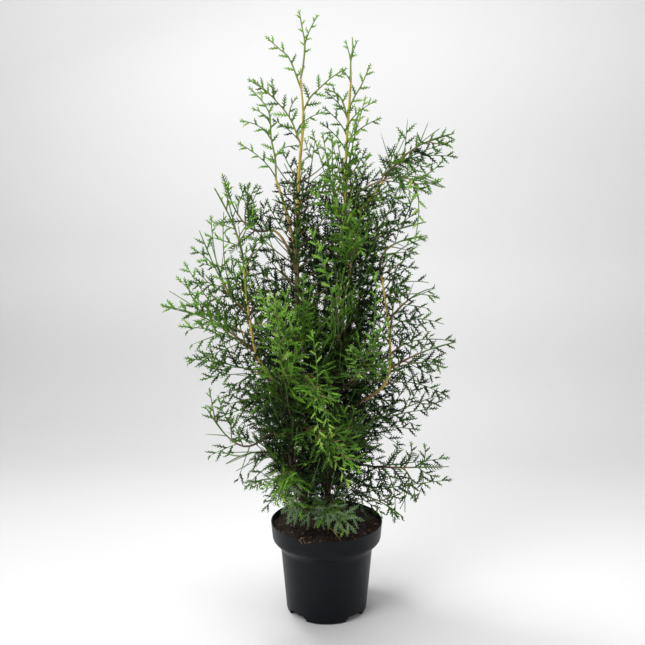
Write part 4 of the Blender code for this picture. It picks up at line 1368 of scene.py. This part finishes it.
def object_from(name, bm, finish, smooth_angle):
    """An object with this mesh, which is smooth up to the angle."""
    mesh = bpy.data.meshes.new(name)
    bm.to_mesh(mesh)
    bm.free()
    mesh.shade_smooth()
    mesh.set_sharp_from_angle(angle=smooth_angle)
    mesh.materials.append(finish)
    return linked(name, mesh)


def pot_profile():
    """Half of the pot's section: the underside, the outside, the rim and the inside."""
    shoulder_top = POT_HEIGHT - COLLAR_HEIGHT
    shoulder_foot = shoulder_top - SHOULDER_DROP
    return [
        (0, FLOOR_UNDERSIDE),
        (BODY_FOOT_RADIUS - FOOT_RING_WIDTH, FLOOR_UNDERSIDE),
        (BODY_FOOT_RADIUS - FOOT_RING_WIDTH, 0),
        (BODY_FOOT_RADIUS - 0.001, 0),
        (BODY_FOOT_RADIUS, FOOT_BAND),
        (BODY_TOP_RADIUS, shoulder_foot),
        (COLLAR_FOOT_RADIUS, shoulder_top),
        (RIM_RADIUS - 0.0005, POT_HEIGHT - 0.004),
        (RIM_RADIUS, POT_HEIGHT),
        (RIM_RADIUS - POT_WALL, POT_HEIGHT),
        (COLLAR_FOOT_RADIUS - POT_WALL, shoulder_top),
        (BODY_TOP_RADIUS - POT_WALL, shoulder_foot),
        (BODY_FOOT_RADIUS - POT_WALL, FLOOR_UNDERSIDE + POT_WALL),
        (0, FLOOR_UNDERSIDE + POT_WALL),
    ]


def cut_notch(pot, turn, finish):
    """Cuts one notch out of the pot's foot ring."""
    bm = bmesh.new()
    bmesh.ops.create_cube(bm, size=1.0)
    size = (3 * FOOT_RING_WIDTH, FOOT_NOTCH_WIDTH, 2 * FLOOR_UNDERSIDE - 0.0005)
    bmesh.ops.scale(bm, vec=size, verts=bm.verts)
    bmesh.ops.bevel(bm, geom=bm.edges[:], offset=0.004, segments=3, affect="EDGES")
    bmesh.ops.translate(bm, vec=(BODY_FOOT_RADIUS - FOOT_RING_WIDTH / 2, 0, -0.0005), verts=bm.verts)
    cutter = object_from("notch_cutter", bm, finish, math.radians(30))
    cutter.rotation_euler.z = turn
    cut = pot.modifiers.new("notch", "BOOLEAN")
    cut.operation = "DIFFERENCE"
    cut.object = cutter
    cut.solver = "EXACT"
    graph = bpy.context.evaluated_depsgraph_get()
    mesh = bpy.data.meshes.new_from_object(pot.evaluated_get(graph))
    pot.modifiers.clear()
    pot.data = mesh
    bpy.data.objects.remove(cutter)


def make_pot():
    """The black pot, with its finely grained plastic."""
    made, shader = shader_of("pot_plastic", (0.005, 0.006, 0.009), 0.40)
    shader.inputs["Specular IOR Level"].default_value = 0.15
    noise = noise_node(made.node_tree, 60.0, 3.0, (1.0, 1.0, 3.0))
    add_ramp(made, shader, noise, (0.003, 0.004, 0.006), (0.005, 0.006, 0.009), 0.3, 0.7)
    add_bump(made, shader, noise_node(made.node_tree, 1500.0, 2.0), 0.12, 0.0002)
    pot = object_from("nursery_pot", turned(rounded(pot_profile(), 0.004), 128), made, math.radians(40))
    for number in range(FOOT_NOTCHES):
        cut_notch(pot, FIRST_NOTCH_TURN + number * 2 * math.pi / FOOT_NOTCHES, made)
    rides(pot, "black_plastic", "pot")


def soil_height(radius):
    """The height of the soil's smooth dome."""
    return SOIL_CROWN_HEIGHT - (SOIL_CROWN_HEIGHT - SOIL_EDGE_HEIGHT) * (radius / SOIL_RADIUS) ** 2


def soil_points(rng):
    """The soil's points: the middle, rough rings out to the wall, a foot ring and its middle."""
    turns = [2 * math.pi * k / SOIL_SEGMENTS for k in range(SOIL_SEGMENTS)]
    points = [(0.0, 0.0, SOIL_CROWN_HEIGHT)]
    waves = rng.normal(0, 1, (SOIL_WAVES, 3))
    phases = rng.uniform(0, 6.28, SOIL_WAVES)
    for ring in range(1, SOIL_RINGS + 1):
        radius = SOIL_RADIUS * ring / SOIL_RINGS
        for turn in turns:
            x, y = radius * math.cos(turn), radius * math.sin(turn)
            swells = [math.sin(160 * w[0] * x + 160 * w[1] * y + p) for w, p in zip(waves, phases)]
            rough = SOIL_ROUGHNESS * (sum(swells) / 6)
            points.append((x, y, soil_height(radius) + rough + rng.normal(0, 0.0005)))
    for turn in turns:
        points.append((SOIL_FOOT_RADIUS * math.cos(turn), SOIL_FOOT_RADIUS * math.sin(turn), SOIL_FOOT))
    return points + [(0.0, 0.0, SOIL_FOOT)]


def soil_faces():
    """The soil's triangles, ring by ring: the foot ring is the last."""
    last = 1 + SOIL_RINGS * SOIL_SEGMENTS
    faces = [(0, 1 + k, 1 + (k + 1) % SOIL_SEGMENTS) for k in range(SOIL_SEGMENTS)]
    for ring in range(SOIL_RINGS):
        low = 1 + ring * SOIL_SEGMENTS
        faces += [face[::-1] for face in band(low, low + SOIL_SEGMENTS, SOIL_SEGMENTS)]
    end = last + SOIL_SEGMENTS
    return faces + [(last + k, end, last + (k + 1) % SOIL_SEGMENTS) for k in range(SOIL_SEGMENTS)]


# Crumbs and chips: name, colour, count, least and most size, and how much longer they are than wide
CRUMBS = (
    ("crumbs_dark", (0.007, 0.005, 0.003), 2600, 0.0012, 0.0028, 1.3),
    ("crumbs_brown", (0.038, 0.019, 0.010), 1300, 0.0014, 0.0034, 2.2),
    ("crumbs_tan", (0.200, 0.110, 0.058), 150, 0.0012, 0.0028, 3.0),
    ("chips_tan", (0.230, 0.135, 0.070), 16, 0.0026, 0.0044, 2.6),
)


def make_soil():
    """A crumbly bed of peat with bark bits on it."""
    rng = np.random.default_rng(SOIL_SEED)
    made, shader = shader_of("peat", (0.015, 0.009, 0.006), 0.95)
    noise = noise_node(made.node_tree, 260.0, 6.0)
    add_ramp(made, shader, noise, (0.003, 0.002, 0.001), (0.026, 0.014, 0.008), 0.35, 0.72)
    add_bump(made, shader, noise, 0.9, 0.002)
    bed = piece_from("peat_bed", soil_points(rng), soil_faces(), made, smooth=True)
    rides(bed, "potting_soil", "soil")
    for name, colour, *shape in CRUMBS:
        finish, shader = shader_of(name, colour, 0.9)
        add_bump(finish, shader, noise_node(finish.node_tree, 700.0, 3.0), 0.7, 0.0006)
        rides(crumbs_piece(name, *shape, finish, rng), "potting_soil")


# Bits on the soil: a forked root, and slivers of bark that lie over the rim
ROOTS = (
    ((0.002, -0.020, 0.1496), (0.010, -0.038, 0.1506), (0.015, -0.052, 0.1496), (0.022, -0.067, 0.1480)),
    ((0.011, -0.041, 0.1504), (0.018, -0.046, 0.1506), (0.030, -0.050, 0.1490)),
)
SLIVERS = (
    ((-0.046, -0.076, 0.1482), (-0.043, -0.090, 0.1560), (-0.040, -0.097, 0.1530)),
    ((-0.036, -0.080, 0.1480), (-0.037, -0.092, 0.1565), (-0.034, -0.100, 0.1545)),
    ((-0.030, -0.076, 0.1482), (-0.030, -0.090, 0.1520), (-0.025, -0.095, 0.1562)),
)


def make_litter(bark_tan, bark_brown):
    """The forked root and the slivers of bark."""
    rng = np.random.default_rng(LITTER_SEED)
    kinds = (("root", ROOTS, 0.0011, bark_tan), ("sliver", SLIVERS, 0.0009, bark_brown))
    for kind, runs, radius, finish in kinds:
        for number, points in enumerate(runs):
            run = smooth_run(points)
            body, faces = bark_tube(run, np.linspace(radius, radius / 2, len(run)), 6, 0.14, rng)
            rides(piece_from(f"{kind}_{number}", body, faces, finish, smooth=True), "potting_soil")


def crumbs_piece(name, count, least, most, stretch, finish, rng):
    """Many small irregular bits that lie on the soil."""
    base = np.array(((1, 0, 0), (-1, 0, 0), (0, 1, 0), (0, -1, 0), (0, 0, 1), (0, 0, -1)), float)
    faces = np.array(
        ((0, 2, 4), (2, 1, 4), (1, 3, 4), (3, 0, 4), (2, 0, 5), (1, 2, 5), (3, 1, 5), (0, 3, 5))
    )
    size = rng.uniform(least, most, count) / 2
    radius = (SOIL_RADIUS - 0.0035) * np.sqrt(rng.uniform(0, 1, count))
    turn = rng.uniform(0, 2 * math.pi, count)
    height = soil_height(radius) + 0.0006
    centre = np.stack([radius * np.cos(turn), radius * np.sin(turn), height], axis=1)
    shape = base[None] * rng.uniform(0.6, 1.3, (count, 6, 1)) * size[:, None, None]
    shape[:, :, 0] *= stretch
    angle = rng.uniform(0, 2 * math.pi, count)
    dip = rng.normal(0, 0.35, count)
    x = shape[:, :, 0] * np.cos(dip)[:, None] - shape[:, :, 2] * np.sin(dip)[:, None]
    z = shape[:, :, 0] * np.sin(dip)[:, None] + shape[:, :, 2] * np.cos(dip)[:, None]
    y = shape[:, :, 1]
    turned_x = x * np.cos(angle)[:, None] - y * np.sin(angle)[:, None]
    turned_y = x * np.sin(angle)[:, None] + y * np.cos(angle)[:, None]
    points = np.stack([turned_x, turned_y, z], axis=2) + centre[:, None, :]
    body, triangles = joined(points, faces)
    return piece_from(name, body, triangles, finish)


# Stage


# Soft lights: name, place, target, width and height, watts
LIGHTS = (
    ("key", (-1.3, -1.3, 2.0), (0.0, 0.0, 0.5), (1.2, 1.2), 34.0),
    ("fill", (2.0, -1.0, 1.6), (0.3, 0.4, 0.3), (1.2, 2.0), 8.0),
    ("top", (0.0, 0.05, 2.8), (0.0, 0.0, 0.0), (1.2, 1.0), 32.0),
    ("back", (-0.60, 0.42, 1.8), (0.0, 0.0, 0.1), (0.35, 0.35), 17.0),
)

# Painted light and shade that multiply the paper's grey along an axis: from, to, and the factor at both
# ends
PAPER_PAINTED_LIGHT = (
    ("Y", 0.75, 1.35, 1.00, 1.12),
    ("X", -0.80, 0.50, 0.87, 1.06),
    ("Z", 0.10, 0.50, 1.00, 1.16),
    ("Z", 0.90, 1.40, 1.00, 1.08),
)


def area_light(name, place, target, size, power):
    """A soft light that points from its place to the target."""
    light = bpy.data.lights.new(name, "AREA")
    light.shape = "RECTANGLE"
    light.size, light.size_y = size
    light.energy = power
    obj = linked(name, light)
    obj.location = place
    obj.rotation_euler = (Vector(target) - Vector(place)).to_track_quat("-Z", "Y").to_euler()


def graded(tree, axis, start, end, low, high):
    """A grey that goes from low to high as a coordinate goes from start to end.

    low and high are numbers or sockets.
    """
    place = tree.nodes.new("ShaderNodeTexCoord")
    split = tree.nodes.new("ShaderNodeSeparateXYZ")
    spread = tree.nodes.new("ShaderNodeMapRange")
    spread.interpolation_type = "SMOOTHSTEP"
    for name, value in zip(("From Min", "From Max", "To Min", "To Max"), (start, end, low, high)):
        if isinstance(value, float):
            spread.inputs[name].default_value = value
        else:
            tree.links.new(value, spread.inputs[name])
    tree.links.new(place.outputs["Object"], split.inputs["Vector"])
    tree.links.new(split.outputs[axis], spread.inputs["Value"])
    return spread.outputs["Result"]


def times(tree, first, second):
    """The product of two sockets."""
    made = tree.nodes.new("ShaderNodeMath")
    made.operation = "MULTIPLY"
    tree.links.new(first, made.inputs[0])
    tree.links.new(second, made.inputs[1])
    return made.outputs[0]


def studio_paper():
    """A pale grey paper with painted light and shade, graded along the axes: darker from the front of the
    floor to the back, then brighter toward the bend and up the wall, most at its upper left, and darker at
    the left than at the right.
    """
    made, shader = shader_of("studio_paper", (0.86, 0.86, 0.86), 0.9)
    tree = made.node_tree
    # Painted light and shade: the floor's grey falls from front to back, and the wall's rises upward, most
    # at the left, where the key light leaves it dim.
    grey = graded(tree, "Y", 0.00, 0.90, 0.69, 0.58)
    left_wall_painted_light = graded(tree, "X", -0.75, 0.30, 1.25, 1.02)
    grey = times(tree, grey, graded(tree, "Z", -0.10, 1.30, 1.0, left_wall_painted_light))
    for shade in PAPER_PAINTED_LIGHT:
        grey = times(tree, grey, graded(tree, *shade))
    tree.links.new(grey, shader.inputs["Base Color"])
    return made


def make_sweep():
    """The floor, and the wall that it bends up to."""
    depth = [(FLOOR_FRONT, 0.0), (FLOOR_BACK, 0.0)]
    for k in range(1, BEND_STEPS + 1):
        turn = math.radians(90 * k / BEND_STEPS)
        depth.append((FLOOR_BACK + BEND_RADIUS * math.sin(turn), BEND_RADIUS * (1.0 - math.cos(turn))))
    depth.append((FLOOR_BACK + BEND_RADIUS, WALL_TOP))
    bm = bmesh.new()
    rows = [[bm.verts.new((x, y, z)) for x in (-FLOOR_SIDE, FLOOR_SIDE)] for y, z in depth]
    for low, high in zip(rows, rows[1:]):
        bm.faces.new((low[0], low[1], high[1], high[0]))
    object_from("studio_sweep", bm, studio_paper(), math.radians(60))


def make_stage():
    """The paper, the lights and the pale air round them."""
    make_sweep()
    for light in LIGHTS:
        area_light(*light)
    scene = bpy.context.scene
    scene.world = bpy.data.worlds.new("studio_air")
    scene.world.use_nodes = True
    air = scene.world.node_tree.nodes["Background"]
    air.inputs["Color"].default_value = (1.0, 1.0, 1.0, 1.0)
    air.inputs["Strength"].default_value = AIR_STRENGTH
    scene.view_settings.view_transform = "Standard"
    scene.view_settings.look = "None"


def make_camera():
    """The camera, in front of the plant and a little above its middle."""
    camera = bpy.data.cameras.new("camera")
    camera.sensor_width = SENSOR_WIDTH
    camera.lens = LENS
    obj = linked("camera", camera)
    obj.location = CAMERA_PLACE
    obj.rotation_euler = (math.pi / 2 - CAMERA_DIP, 0.0, 0.0)
    bpy.context.scene.camera = obj


# Barks by name, each with its low and high colour
LIMB_BARKS = (
    ("bark_dark", (0.045, 0.026, 0.018), (0.120, 0.070, 0.042)),
    ("bark_brown", (0.110, 0.058, 0.030), (0.230, 0.125, 0.060)),
    ("bark_tan", (0.300, 0.190, 0.060), (0.450, 0.310, 0.100)),
    ("shoot_gold", (0.460, 0.350, 0.050), (0.620, 0.490, 0.100)),
)


def main():
    """The whole picture, from the camera to the leaves."""
    make_camera()
    make_stage()
    make_pot()
    make_soil()
    barks = [bark_material(*row) for row in LIMB_BARKS]
    limbs = grow_limbs(barks)
    make_litter(barks[2], barks[1])
    finishes = [(name, leaf_material(f"leaf_{name}", colour)) for name, colour in (*TINTS, *GREYS)]
    twig_finishes = (
        bark_material("twig_brown", (0.060, 0.036, 0.020), (0.140, 0.085, 0.045)),
        bark_material("twig_tan", (0.190, 0.120, 0.045), (0.300, 0.210, 0.075)),
        leaf_material("twig_green", (0.095, 0.190, 0.040)),
        bark_material("twig_gold", (0.330, 0.270, 0.075), (0.450, 0.380, 0.130)),
        leaf_material("twig_lime", (0.210, 0.290, 0.065)),
    )
    make_foliage(limbs, finishes, twig_finishes)


main()
